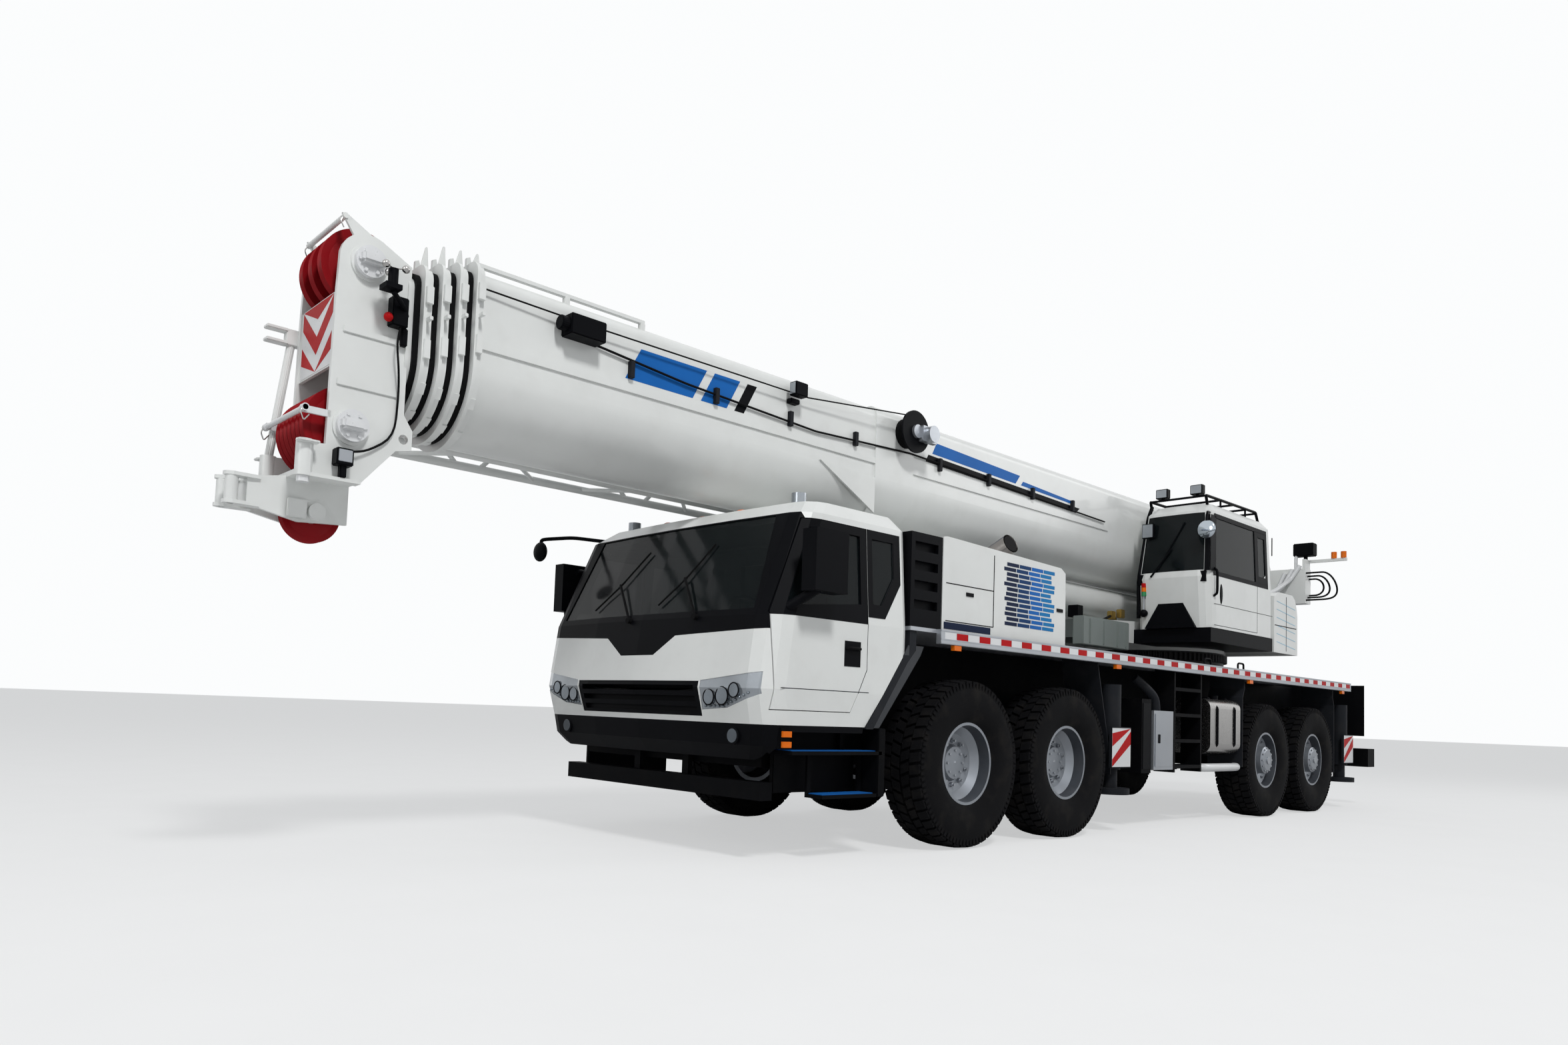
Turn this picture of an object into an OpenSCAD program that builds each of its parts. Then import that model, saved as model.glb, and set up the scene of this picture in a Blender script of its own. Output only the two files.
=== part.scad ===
// All-terrain truck crane: four single-tyre axles, full-width driver's cab,
// slewing upper works with operator's cab, five-section telescopic boom with
// a lattice jib stowed at its side, and four outriggers with jacks.
// +X is forward, +Y is the left side, +Z is up; the ground is z = 0.

/* [Wheels] */
// Outside diameter of each tyre
tyre_d = 1350; // [1300:5:1380]
// Section width of each tyre
tyre_w = 385; // [360:5:400]
// Distance between the middles of left and right tyres
track = 2456; // [2430:2:2470]
// Spacing of the two steered front axles
front_pair = 1520; // [1500:5:1560]
// Spacing of the second and third axles
mid_gap = 4580; // [4560:5:4640]
// Spacing of the two rear axles
rear_pair = 1540; // [1500:5:1560]

/* [Carrier] */
// Width of the deck over its side rails
deck_w = 2880; // [2860:5:2920]
// Height of the deck's top face
deck_z = 1720; // [1710:2:1740]
// Width of the box frame
frame_w = 900; // [860:5:940]
// Plate thickness of the box frame
frame_t = 26; // [16:1:36]

/* [Driver's cab] */
// Width of the cab body
cab_w = 2760; // [2740:5:2780]
// Height of the cab roof
cab_top = 2550; // [2540:2:2570]
// Thickness of the doors
door_t = 55; // [40:1:65]

/* [Upper works] */
// Width of the base boom section
boom_w = 860; // [820:5:880]
// Height of the base boom section
boom_h = 1060; // [1030:5:1080]
// Step between nested boom sections on each side
boom_step = 30; // [26:1:32]
// Wall of the boom sections
boom_t = 12; // [8:1:16]
// Outside radius of the slewing ring's teeth
ring_r = 930; // [900:5:960]
// Height of the operator's cab roof
op_top = 3570; // [3550:5:3600]

/* [Hidden] */
$fn = 48;
gap = 0.3;
seal = 0.5;
half_track = track / 2;
tyre_r = tyre_d / 2;
axle = [0, -front_pair, -front_pair - mid_gap, -front_pair - mid_gap - rear_pair];
axle_z = tyre_r;
deck_y = deck_w / 2;
rail_in = deck_y - 46;
deck_t = 30;
frame_top = deck_z - deck_t;
frame_y = frame_w / 2;
frame_front = 2000;
frame_back = -9600;
cab_y = cab_w / 2;
front_end = 5315;
rear_end = -10075;
shift = -(front_end + rear_end) / 2;
rim_r = 330;
king_y = half_track - 250;
king_r = 36;
spindle_r = 72;
hub_in = half_track - 80;
slew_x = -5900;
ring_top = 1950;
boom_zc = 3220;
boom_low = boom_zc - boom_h / 2;
pivot_x = -8350;
pivot_z = 3330;
lift_x = -6500;
lift_z = 2490;
eye_x = -2100;
lift_r = 180;
plate_in = boom_w / 2 + 15;
plate_out = plate_in + 40;
out_x = [-2620, -9060];
out_beam = 248;
out_z0 = 930;
out_z1 = 1300;
out_box_y = 1140;
jack_y = deck_y - 150;
jack_r = 72;
op_in = plate_out + 30;
op_out = deck_y - 60;
cover_y = deck_y - 60;
white = [0.86, 0.87, 0.86];
black = [0.07, 0.075, 0.085];
grey = [0.36, 0.38, 0.4];
steel = [0.62, 0.63, 0.65];
rubber = [0.035, 0.035, 0.037];
red = [0.5, 0.02, 0.03];
glass = [0.1, 0.13, 0.14];

module set_in() { translate([shift, 0, 0]) children(); }
module box(x, y, z) {
  translate([x[0], y[0], z[0]]) cube([x[1] - x[0], y[1] - y[0], z[1] - z[0]]);
}
module both() {
  children();
  mirror([0, 1, 0]) children();
}
// outline in (x, z) drawn out across the vehicle
module side_cut(pts, y) {
  translate([0, y[1], 0]) rotate([90, 0, 0]) linear_extrude(y[1] - y[0]) polygon(pts);
}
// outline in (y, z) drawn out along the vehicle
module front_cut(pts, x) {
  translate([x[0], 0, 0]) rotate([90, 0, 90]) linear_extrude(x[1] - x[0]) polygon(pts);
}
module rod_y(x, z, y, r) {
  translate([x, y[0], z]) rotate([-90, 0, 0]) cylinder(r = r, h = y[1] - y[0]);
}
module rod_x(y, z, x, r) {
  translate([x[0], y, z]) rotate([0, 90, 0]) cylinder(r = r, h = x[1] - x[0]);
}
module rod_z(x, y, z, r) {
  translate([x, y, z[0]]) cylinder(r = r, h = z[1] - z[0]);
}
// straight tube between two points
module strut(p, q, r) {
  d = q - p;
  translate(p) rotate([0, acos(d[2] / norm(d)), atan2(d[1], d[0])]) cylinder(r = r, h = norm(d), $fn = 24);
}
module pane(w, h, r) {
  square([w - 2 * r, h], center = true);
  square([w, h - 2 * r], center = true);
  for (i = [-1, 1]) for (j = [-1, 1]) translate([i * (w / 2 - r), j * (h / 2 - r)]) circle(r);
}

// one level of a cab body: front edge bowed by b, corners rf in front, rr behind
function level(z, x, y, rf, rr, b) = let (ym = (y[0] + y[1]) / 2, hw = (y[1] - y[0]) / 2,
  flat = [for (a = [-90:30:0]) [x[1] - rf + rf * cos(a), y[0] + rf + rf * sin(a)],
    for (t = [0.25:0.25:0.75]) [x[1], y[0] + rf + 2 * (hw - rf) * t],
    for (a = [0:30:90]) [x[1] - rf + rf * cos(a), y[1] - rf + rf * sin(a)],
    for (a = [90:45:180]) [x[0] + rr + rr * cos(a), y[1] - rr + rr * sin(a)],
    for (a = [180:45:270]) [x[0] + rr + rr * cos(a), y[0] + rr + rr * sin(a)]])
  [for (p = flat) [p[0] + (p[0] > (x[0] + x[1]) / 2 ? b * (1 - pow((p[1] - ym) / hw, 2)) : 0), p[1], z]];
module loft(levels) {
  n = len(levels[0]);
  m = len(levels);
  polyhedron(points = [for (l = levels) for (p = l) p], faces = concat(
    [[for (i = [0:n - 1]) i]],
    [[for (i = [n - 1:-1:0]) (m - 1) * n + i]],
    [for (k = [0:m - 2]) for (i = [0:n - 1]) [k * n + i, (k + 1) * n + i, (k + 1) * n + (i + 1) % n]],
    [for (k = [0:m - 2]) for (i = [0:n - 1]) [k * n + i, (k + 1) * n + (i + 1) % n, k * n + (i + 1) % n]]));
}

// driver's cab body set in by g, from its foot or from its floor
cab_back = 800;
cab_foot = 945;
cab_floor = 1185;
belt = 1690;
function cab_body(g, foot) = [
  if (foot) level(cab_foot, [cab_back + g, 2215 - g], [-cab_y + 15 + g, cab_y - 15 - g], 180 - g,
    60 - g / 2, 60),
  level(cab_floor, [cab_back + g, 2275 - g], [-cab_y + g, cab_y - g], 180 - g, 60 - g / 2, 80),
  level(belt, [cab_back + g, 2205 - g], [-cab_y + g, cab_y - g], 180 - g, 60 - g / 2, 70),
  level(2440, [cab_back + g, 1890 - g], [-cab_y + 50 + g, cab_y - 50 - g], 160 - g, 60 - g / 2, 60),
  level(cab_top - g, [cab_back + 40 + g, 1740 - g], [-cab_y + 150 + g, cab_y - 150 - g], 160 - g,
    60 - g / 2, 50)];
module cab_skin(g0, g1) {
  difference() {
    loft(cab_body(g0, true));
    loft(cab_body(g1, true));
  }
}
// the doors reach round the front corners as far as this
door_in = 1184;
function door_line(g) = [[2180 - g, 1050 + g], [2180 - g, belt + 20 - g / 2], [1880 - g, 2390 - g],
  [1270 + g, 2390 - g], [1270 + g, 1360 + g / 2], [1430 + g / 2, 1050 + g]];
function pane_line(g) = [[2080 - g, 1760 + g], [1850 - g, 2330 - g], [1340 + g, 2330 - g],
  [1340 + g, 1830 + g]];
function quarter_line(g) = [[1210 - g, 1840 + g], [1210 - g, 2330 - g], [960 + g, 2330 - g],
  [960 + g, 2060 + g], [1110 + g, 1840 + g]];
function screen_line(g) = [[-1160 + g, 1735 + g], [1160 - g, 1735 + g], [1050 - g, 2430 - g],
  [-1050 + g, 2430 - g]];
function pillar_line() = [[-1500, 1600], [-420, 1560], [-200, 1420], [200, 1420], [420, 1560],
  [1500, 1600], [1500, 2440], [-1500, 2440]];
function lamp_line(g) = [[745 + g, 1030 + g], [760 + g, 1235 - g], [1300 - g, 1300 - g],
  [1300 - g, 1150 + g], [1000, 1050 + g]];
grille_line = [[-735, 985], [735, 985], [745, 1230], [-745, 1230]];
arch_line = [[700, 900], [700, 1500], [840, 1500], [1262, 940], [1262, 900]];
arch_room = [[700, 900], [700, 1540], [860, 1540], [1290, 980], [1290, 900]];

// black front: everything ahead of the doors between the roof and the nose
module front_zone(g) {
  difference() {
    front_cut(pillar_line(), [1500, 2500]);
    both() side_cut([[1000, 1000], [2180 + g, 1000], [2180 + g, belt + 20], [1880 + g, 2390 + g],
      [1000, 2390 + g]],
      [door_in - g, 2000]);
    side_cut([[1000, 2390], [1000, 2500], [1885, 2500], [1860, 2390]], [-2000, 2000]);
  }
}

module frame() {
  color(black) set_in() difference() {
    union() {
      difference() {
        side_cut([[frame_front, 770], [frame_front, 1135], [620, 1135], [380, frame_top],
          [frame_back, frame_top],
          [frame_back, 950], [-2200, 850], [600, 850], [760, 770]], [-frame_y, frame_y]);
        box([frame_back + frame_t, 350], [-frame_y + frame_t, frame_y - frame_t],
          [980, frame_top - frame_t]);
        box([660, frame_front - frame_t], [-frame_y + frame_t, frame_y - frame_t], [860, 1135 - frame_t]);
      }
      difference() {
        rod_z(slew_x, 0, [1250, frame_top], ring_r - 50);
        rod_z(slew_x, 0, [1200, frame_top - 30], ring_r - 90);
      }
      for (x = out_x) box([x - 290, x + 290], [-out_box_y, out_box_y], [out_z0 - 35, out_z1 + 35]);
      box([frame_back - 20, frame_back], [-deck_y + 40, deck_y - 40], [1000, deck_z]);
      box([frame_back - 260, frame_back], [-frame_y, frame_y], [600, 1000]);
      box([frame_back - 460, frame_back - 180], [-deck_y + 40, deck_y - 40], [560, 820]);
      box([640, 790], [-260, 260], [1135 + gap, boom_low - 70]);
    }
    for (x = out_x) {
      box([x + 10, x + 22 + out_beam], [-out_box_y + 40, 2000], [out_z0, out_z1]);
      box([x - 22 - out_beam, x - 10], [-2000, out_box_y - 40], [out_z0, out_z1]);
    }
  }
}

module outrigger_beam(x, side) {
  scale([1, side, 1]) difference() {
    union() {
      box([x - out_beam / 2, x + out_beam / 2], [-out_box_y + 60, jack_y - 60],
        [out_z0 + seal, out_z1 - 6]);
      rod_z(x, jack_y, [600, 1420], 100);
      box([x - 185, x + 185], [jack_y + 90, jack_y + 120], [620, 1010]);
    }
    box([x - out_beam / 2 + 18, x + out_beam / 2 - 18], [-out_box_y, jack_y - 110],
      [out_z0 + 18, out_z1 - 24]);
    rod_z(x, jack_y, [500, 1390], jack_r + gap);
  }
}
module outrigger_jack(x, side) {
  scale([1, side, 1]) {
    rod_z(x, jack_y, [400, 1340], jack_r);
    rod_z(x, jack_y, [365, 425], 185);
  }
}
left_x = [for (x = out_x) x + 16 + out_beam / 2];
right_x = [for (x = out_x) x - 16 - out_beam / 2];
module beam_front_left() { color(grey) set_in() outrigger_beam(left_x[0], 1); }
module beam_front_right() { color(grey) set_in() outrigger_beam(right_x[0], -1); }
module beam_rear_left() { color(grey) set_in() outrigger_beam(left_x[1], 1); }
module beam_rear_right() { color(grey) set_in() outrigger_beam(right_x[1], -1); }
module jack_front_left() { color(steel) set_in() outrigger_jack(left_x[0], 1); }
module jack_front_right() { color(steel) set_in() outrigger_jack(right_x[0], -1); }
module jack_rear_left() { color(steel) set_in() outrigger_jack(left_x[1], 1); }
module jack_rear_right() { color(steel) set_in() outrigger_jack(right_x[1], -1); }

module axles() {
  color(black) set_in() {
    for (x = [axle[0], axle[1]]) difference() {
      union() {
        box([x - 70, x + 70], [-king_y, king_y], [axle_z - 80, axle_z + 60]);
        both() {
          rod_z(x, king_y, [axle_z - 85, axle_z + 85], 76);
          box([x - 330, x + 330], [frame_y - 110, frame_y - 20], [axle_z + 50, 850]);
        }
      }
      both() rod_z(x, king_y, [axle_z - 200, axle_z + 200], king_r + gap);
    }
    for (x = [axle[2], axle[3]]) {
      rod_y(x, axle_z, [-half_track + 200, half_track - 200], 105);
      rod_y(x, axle_z, [-hub_in - 60, hub_in + 60], spindle_r);
      translate([x, 0, axle_z]) sphere(r = 215);
      both() box([x - 330, x + 330], [frame_y - 110, frame_y - 20],
        [axle_z + 60, 850 - (x + 330 + 2200) / 74 - seal]);
    }
  }
}

module knuckle(x, side) {
  scale([1, side, 1]) {
    rod_z(x, king_y, [axle_z - 150, axle_z + 150], king_r);
    for (z = [axle_z - 150, axle_z + 90]) {
      rod_z(x, king_y, [z, z + 60], 76);
      box([x - 60, x + 60], [king_y, king_y + 130], [z, z + 60]);
    }
    box([x - 60, x + 60], [king_y + 85, king_y + 130], [axle_z - 150, axle_z + 150]);
    rod_y(x, axle_z, [king_y + 100, hub_in + 60], spindle_r);
  }
}
module knuckle_1_left() { color(grey) set_in() knuckle(axle[0], 1); }
module knuckle_1_right() { color(grey) set_in() knuckle(axle[0], -1); }
module knuckle_2_left() { color(grey) set_in() knuckle(axle[1], 1); }
module knuckle_2_right() { color(grey) set_in() knuckle(axle[1], -1); }

// tyre and rim turn about the wheel's own middle plane
module tyre(x, side) {
  w = tyre_w / 2;
  translate([x, side * half_track, axle_z]) rotate([-90, 0, 0]) rotate_extrude($fn = 72)
    polygon([[rim_r + gap, -w + 40], [tyre_r - 210, -w], [tyre_r - 130, -w], [tyre_r - 30, -w + 14],
      [tyre_r, -w + 30],
      [tyre_r, w - 30], [tyre_r - 30, w - 14], [tyre_r - 130, w], [tyre_r - 210, w],
        [rim_r + gap, w - 40]]);
}
module rim_front(x, side) {
  w = tyre_w / 2 - 40;
  translate([x, side * half_track, axle_z]) scale([1, side, 1]) rotate([-90, 0, 0]) rotate_extrude($fn = 64)
    polygon([[spindle_r + gap, -80], [180, -80], [180, -50], [250, -20], [rim_r - 40, 20],
      [rim_r - 40, -w], [rim_r, -w],
      [rim_r, w], [rim_r - 22, w], [rim_r - 35, 60], [235, 10], [150, -10], [130, 30], [0, 34],
        [0, -10], [spindle_r + gap, -10]]);
}
module rim_rear(x, side) {
  w = tyre_w / 2 - 40;
  translate([x, side * half_track, axle_z]) scale([1, side, 1]) rotate([-90, 0, 0]) rotate_extrude($fn = 64)
    polygon([[spindle_r + gap, -80], [230, -80], [230, -20], [rim_r - 40, 20], [rim_r - 40, -w],
      [rim_r, -w],
      [rim_r, w], [rim_r - 22, w], [rim_r - 35, 60], [210, 20], [165, 40], [160, 150], [120, 175],
        [0, 180], [0, -10], [spindle_r + gap, -10]]);
}
module tyre_1_left() { color(rubber) set_in() tyre(axle[0], 1); }
module tyre_1_right() { color(rubber) set_in() tyre(axle[0], -1); }
module tyre_2_left() { color(rubber) set_in() tyre(axle[1], 1); }
module tyre_2_right() { color(rubber) set_in() tyre(axle[1], -1); }
module tyre_3_left() { color(rubber) set_in() tyre(axle[2], 1); }
module tyre_3_right() { color(rubber) set_in() tyre(axle[2], -1); }
module tyre_4_left() { color(rubber) set_in() tyre(axle[3], 1); }
module tyre_4_right() { color(rubber) set_in() tyre(axle[3], -1); }
module rim_1_left() { color(steel) set_in() rim_front(axle[0], 1); }
module rim_1_right() { color(steel) set_in() rim_front(axle[0], -1); }
module rim_2_left() { color(steel) set_in() rim_front(axle[1], 1); }
module rim_2_right() { color(steel) set_in() rim_front(axle[1], -1); }
module rim_3_left() { color(steel) set_in() rim_rear(axle[2], 1); }
module rim_3_right() { color(steel) set_in() rim_rear(axle[2], -1); }
module rim_4_left() { color(steel) set_in() rim_rear(axle[3], 1); }
module rim_4_right() { color(steel) set_in() rim_rear(axle[3], -1); }

module deck() {
  color(grey) set_in() difference() {
    union() {
      box([-8920, 790], [-deck_y + 45, deck_y - 45], [frame_top, deck_z]);
      both() box([-8920, 470], [deck_y - 45, deck_y], [deck_z - 112, deck_z]);
    }
    rod_z(slew_x, 0, [frame_top - 10, deck_z + 10], ring_r - 20);
    box([640 - gap, 790 + 10], [-260 - gap, 260 + gap], [frame_top - 10, deck_z + 10]);
  }
}

module slew_ring() {
  teeth = 96;
  color(black) set_in() translate([slew_x, 0, 0]) difference() {
    union() {
      translate([0, 0, frame_top]) cylinder(r = ring_r - 40, h = ring_top - frame_top, $fn = 96);
      translate([0, 0, ring_top - 110]) linear_extrude(90) polygon([for (i = [0:teeth - 1])
        for (k = [0, 1, 2, 3]) (ring_r - (k < 2 ? 0 : 24)) * [cos((i + k / 4) * 360 / teeth),
          sin((i + k / 4) * 360 / teeth)]]);
    }
    translate([0, 0, frame_top - 10]) cylinder(r = ring_r - 190, h = 400, $fn = 96);
  }
}

// exhaust: upright pipe and its slanted end
pipe_low = [-540, 1190, 2430];
pipe_run = [-160, 160, 165];
module engine() {
  color(steel) set_in() {
    box([-1250, 150], [-420, 420], [deck_z, 2200]);
    difference() {
      union() {
        strut([pipe_low[0], pipe_low[1], deck_z], pipe_low, 80);
        strut(pipe_low - 0.05 * pipe_run, pipe_low + pipe_run, 86);
      }
      strut(pipe_low + 0.5 * pipe_run, pipe_low + 1.2 * pipe_run, 74);
    }
  }
}
module engine_cover() {
  color(white) set_in() difference() {
    side_cut([[385, deck_z], [385, 2460], [340, 2470], [-1380, 2420], [-1455, 2380], [-1465, deck_z]],
      [-cover_y, cover_y]);
    box([-1440, 360], [-cover_y + 25, cover_y - 25], [deck_z - 10, 2250]);
    both() box([-1400, 330], [360, cover_y - 25], [2200, 2385]);
    box([-1600, 500], [-330, 330], [2280, 2600]);
    strut([pipe_low[0], pipe_low[1], 2200], pipe_low + [0, 0, 80], 90);
    strut(pipe_low - 0.2 * pipe_run, pipe_low + 1.5 * pipe_run, 96);
  }
}
module air_intake() {
  color(black) set_in() both() difference() {
    box([395, 785], [700, cab_y], [deck_z, 2450]);
    for (z = [1860:150:2320]) box([450, 740], [cab_y - 40, cab_y + 10], [z, z + 70]);
  }
}

module cab_shell() {
  color(white) set_in() difference() {
    loft(cab_body(0, true));
    side_cut(arch_line, [-2000, 2000]);
    difference() {
      loft(cab_body(85, false));
      side_cut(arch_room, [-2000, 2000]);
    }
    box([700, 2020], [-frame_y - 1, frame_y + 1], [900, 1135]);
    intersection() {
      both() side_cut(door_line(-6), [door_in, 2000]);
      cab_skin(-5, door_t + seal);
    }
    side_cut(door_line(28), [-2000, 2000]);
    both() intersection() {
      side_cut(door_line(-6), [1150, 2000]);
      box([1700, 2300], [1100, 2100], [1000, 2500]);
    }
    side_cut(quarter_line(0), [-2000, 2000]);
    front_zone(0);
    front_cut(grille_line, [2000, 2500]);
    both() front_cut(lamp_line(0), [1980, 2500]);
    box([700, 900], [-420, 420], [1760, 2300]);
  }
}
module cab_glass() {
  color(glass) set_in() {
    intersection() {
      cab_skin(8, 20);
      front_cut(screen_line(0), [1500, 2500]);
    }
    both() intersection() {
      cab_skin(8, 20);
      side_cut(quarter_line(0), [500, 2000]);
    }
    box([830, 842], [-420, 420], [1760, 2300]);
  }
}
module cab_trim() {
  color(black) set_in() {
    difference() {
      intersection() {
        cab_skin(0, 85);
        front_zone(6);
      }
      front_cut(screen_line(0), [1500, 2500]);
    }
    difference() {
      intersection() {
        cab_skin(6, 85);
        front_cut(grille_line, [2000, 2500]);
      }
      for (z = [1010:75:1180]) box([2250, 2500], [-690, 690], [z, z + 40]);
    }
    difference() {
      loft([level(700, [1262, 2120], [-cab_y + 110, cab_y - 110], 180, 20, 50),
        level(800, [1262, 2190], [-cab_y + 30, cab_y - 30], 180, 20, 60),
        level(cab_foot, [1262, 2215], [-cab_y + 15, cab_y - 15], 180, 20, 60)]);
      box([1100, 2120], [-cab_y + 130, cab_y - 130], [600, 1000]);
      box([1000, 2100], [-2000, 2000], [600, 900]);
    }
  }
}
module cab_interior() {
  color(black) set_in() {
    both() {
      box([1150, 1640], [420, 920], [1300, 1560]);
      box([1080, 1210], [430, 910], [1560, 2240]);
      box([1250, 1550], [560, 780], [cab_floor, 1300]);
    }
    box([1830, 2030], [-1180, 1180], [cab_floor, 1620]);
    translate([1770, 670, 1690]) rotate([0, -55, 0]) rotate_extrude() translate([220, 0]) circle(18,
      $fn = 20);
    strut([1840, 670, 1600], [1775, 670, 1695], 30);
    translate([1770, 670, 1690]) rotate([0, -55, 0]) translate([-8, -220, -10]) cube([16, 440, 20]);
  }
}
module door(side) {
  scale([1, side, 1]) {
    difference() {
      intersection() {
        side_cut(door_line(0), [door_in + 6, 2000]);
        cab_skin(0, door_t);
      }
      side_cut(pane_line(0), [500, 2000]);
    }
    intersection() {
      side_cut(pane_line(gap), [500, 2000]);
      cab_skin(14, 24);
    }
    box([1740, 2060], [cab_y + 80, cab_y + 210], [1850, 2270]);
    strut([2060, cab_y - 40, 1745], [1960, cab_y + 140, 1870], 34);
  }
}
module door_left() { color(white) set_in() door(1); }
module door_right() { color(white) set_in() door(-1); }
module lamps() {
  color(steel) set_in() {
    both() difference() {
      intersection() {
        front_cut(lamp_line(gap), [1990, 2500]);
        cab_skin(5, 84);
      }
      side_cut(door_line(-10), [-2000, 2000]);
    }
    both() rod_z(1640, 1000, [cab_top, cab_top + 90], 55);
    both() box([rear_end, frame_back - 460], [880, 1330], [600, 780]);
  }
}
module steps() {
  color(black) set_in() {
    both() {
      box([1060, 2000], [cab_y - 260, cab_y - 10], [745, 770]);
      box([1110, 1690], [cab_y - 180, cab_y - 10], [440, 465]);
      for (x = [1110, 1650]) box([x, x + 40], [cab_y - 180, cab_y - 160], [440, 770]);
      for (x = [1270, 1960]) box([x, x + 40], [cab_y - 240, cab_y - 200], [745, 945]);
      for (x = [-4290, -3660]) box([x, x + 30], [1180, rail_in], [560, frame_top]);
      for (z = [600, 870, 1140, 1410]) box([-4270, -3640], [1190, rail_in], [z, z + 35]);
    }
    box([1990, 2100], [-1176, 1176], [423, 548]);
    both() box([frame_front, frame_front + 40], [260, 330], [500, 900]);
  }
}
module mudguards() {
  color(black) set_in() both() {
    side_cut([[838, 1496], [1258, 938], [1250, 932], [1180, 932], [800, 1438], [700, 1540],
      [700, frame_top],
      [780, frame_top], [780, 1496]], [1000, cab_y]);
    side_cut([[-2080, frame_top], [-2080, 1590], [-2340, 690], [-2345, 560], [-2357, 560],
      [-2352, 690], [-2092, 1592], [-2092, frame_top]],
      [1000, jack_y + 80]);
    side_cut([[-5420, frame_top], [-5420, 1500], [-5370, 1400], [-5370, 600], [-5382, 600], [-5382, 1396],
      [-5432, 1500], [-5432, frame_top]], [1000, rail_in]);
    side_cut([[-8340, frame_top], [-8340, 1500], [-8390, 1400], [-8390, 500], [-8402, 500], [-8402, 1400],
      [-8352, 1500], [-8352, frame_top]], [1000, rail_in]);
  }
}
module fuel_tank() {
  color(steel) set_in() both() {
    translate([-5320, 1160, 1055]) rotate([90, 0, 90]) linear_extrude(800) pane(460, 610, 110);
    for (x = [-5150, -4690]) box([x, x + 40], [frame_y, 935], [980, 1100]);
  }
}
module side_boxes() {
  color(grey) set_in() both() {
    box([-3610, -3180], [960, rail_in], [590, 1190]);
    box([-3150, -2950], [960, deck_y - 60], [560, 1300]);
    box([-3150, -2990], [frame_y, 970], [1000, 1250]);
    box([-3610, -3250], [frame_y, 970], [1000, 1150]);
  }
}

// tall cover behind the operator's cab, rounded over its rear corner
cover_line = [[-7100, 1990], [-7100, 2480], [-7070, 2600], [-7010, 2690], [-6930, 2740],
  [-6500, 2740], [-6340, 2680], [-6340, 1990]];
module turntable() {
  color(white) set_in() {
    rod_z(slew_x, 0, [ring_top + seal, 2060], ring_r - 30);
    both() {
      difference() {
        side_cut([[-3500, 1990], [-3500, 2190], [-4800, 2260], [-6400, 2640], [-7700, 3240],
          [-8150, 3540], [-8500, 3540],
          [-8700, 3300], [-8700, 2700], [-7700, 2600], [-7050, 1990]], [plate_in, plate_out]);
        rod_y(pivot_x, pivot_z, [0, 1000], 90 + gap);
      }
      box([-8700, -8500], [plate_out, 1000], [2820, 3310]);
    }
    box([-6950, -3600], [-plate_in, plate_in], [2060, 2100]);
    both() difference() {
      box([lift_x - 150, lift_x + 150], [lift_r + 40, plate_in], [2100, lift_z + 150]);
      rod_y(lift_x, lift_z, [0, 1000], 70 + gap);
    }
    difference() {
      side_cut(cover_line, [plate_out, op_out]);
      side_cut([[-7075, 1900], [-7075, 2550], [-6970, 2715], [-6510, 2715], [-6365, 2590],
        [-6365, 1900]], [plate_out + 20, op_out - 25]);
    }
    difference() {
      side_cut([[-7100, 2000], [-7100, 2560], [-6980, 2740], [-6500, 2740], [-4600, 2500],
        [-4600, 2000]], [-op_out, -plate_out]);
      side_cut([[-7075, 1900], [-7075, 2550], [-6970, 2715], [-6510, 2715], [-4625, 2475],
        [-4625, 1900]], [-op_out + 25, -plate_out - 20]);
    }
    difference() {
      box([-4300, -3500], [-plate_out, plate_out], [1990, 2190]);
      box([-4280, -3520], [-plate_out + 20, plate_out - 20], [1900, 2170]);
    }
    box([-8680, -8640], [1000, 1470], [3400, 3440]);
    box([-8680, -8500], [960, 1000], [3310, 3440]);
  }
}
function op_body(g) = [
  level(2150 + g / 2, [-6310 + g, -4560 - g], [op_in + g, op_out - g], 130 - g, 80 - g / 2, 20),
  level(2720, [-6310 + g, -4500 - g], [op_in + g, op_out - g], 130 - g, 80 - g / 2, 30),
  level(3480, [-6290 + g, -4580 - g], [op_in + 60 + g, op_out - 30 - g], 130 - g, 80 - g / 2, 25),
  level(op_top - g, [-6230 + g, -4680 - g], [op_in + 130 + g, op_out - 100 - g], 100 - g, 80 - g / 2, 20)];
module op_skin(g0, g1) {
  difference() {
    loft(op_body(g0));
    loft(op_body(g1));
  }
}
op_screen = [[op_in + 75, 2790], [op_out - 75, 2790], [op_out - 95, 3450], [op_in + 130, 3450]];
op_rear_pane = [[-6080, 2900], [-6080, 3340], [-5860, 3340], [-5860, 2860], [-6020, 2860]];
op_side_pane = [[-5780, 2780], [-5780, 3400], [-4700, 3400], [-4640, 2780]];
module operator_cab() {
  color(white) set_in() {
    difference() {
      loft(op_body(0));
      loft(op_body(60));
      front_cut(op_screen, [-4900, -4300]);
      side_cut(op_rear_pane, [900, 2000]);
      side_cut(op_side_pane, [900, 2000]);
    }
    difference() {
      box([-6310, -4560], [plate_out + gap, op_out - 10], [1990, 2150]);
      rod_z(slew_x, 0, [1900, 2060 + gap], ring_r - 29);
    }
  }
}
module operator_glass() {
  color(glass) set_in() {
    intersection() {
      op_skin(6, 16);
      union() {
        front_cut(op_screen, [-4900, -4300]);
        side_cut(op_rear_pane, [900, 2000]);
        side_cut(op_side_pane, [900, 2000]);
      }
    }
  }
}
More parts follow.
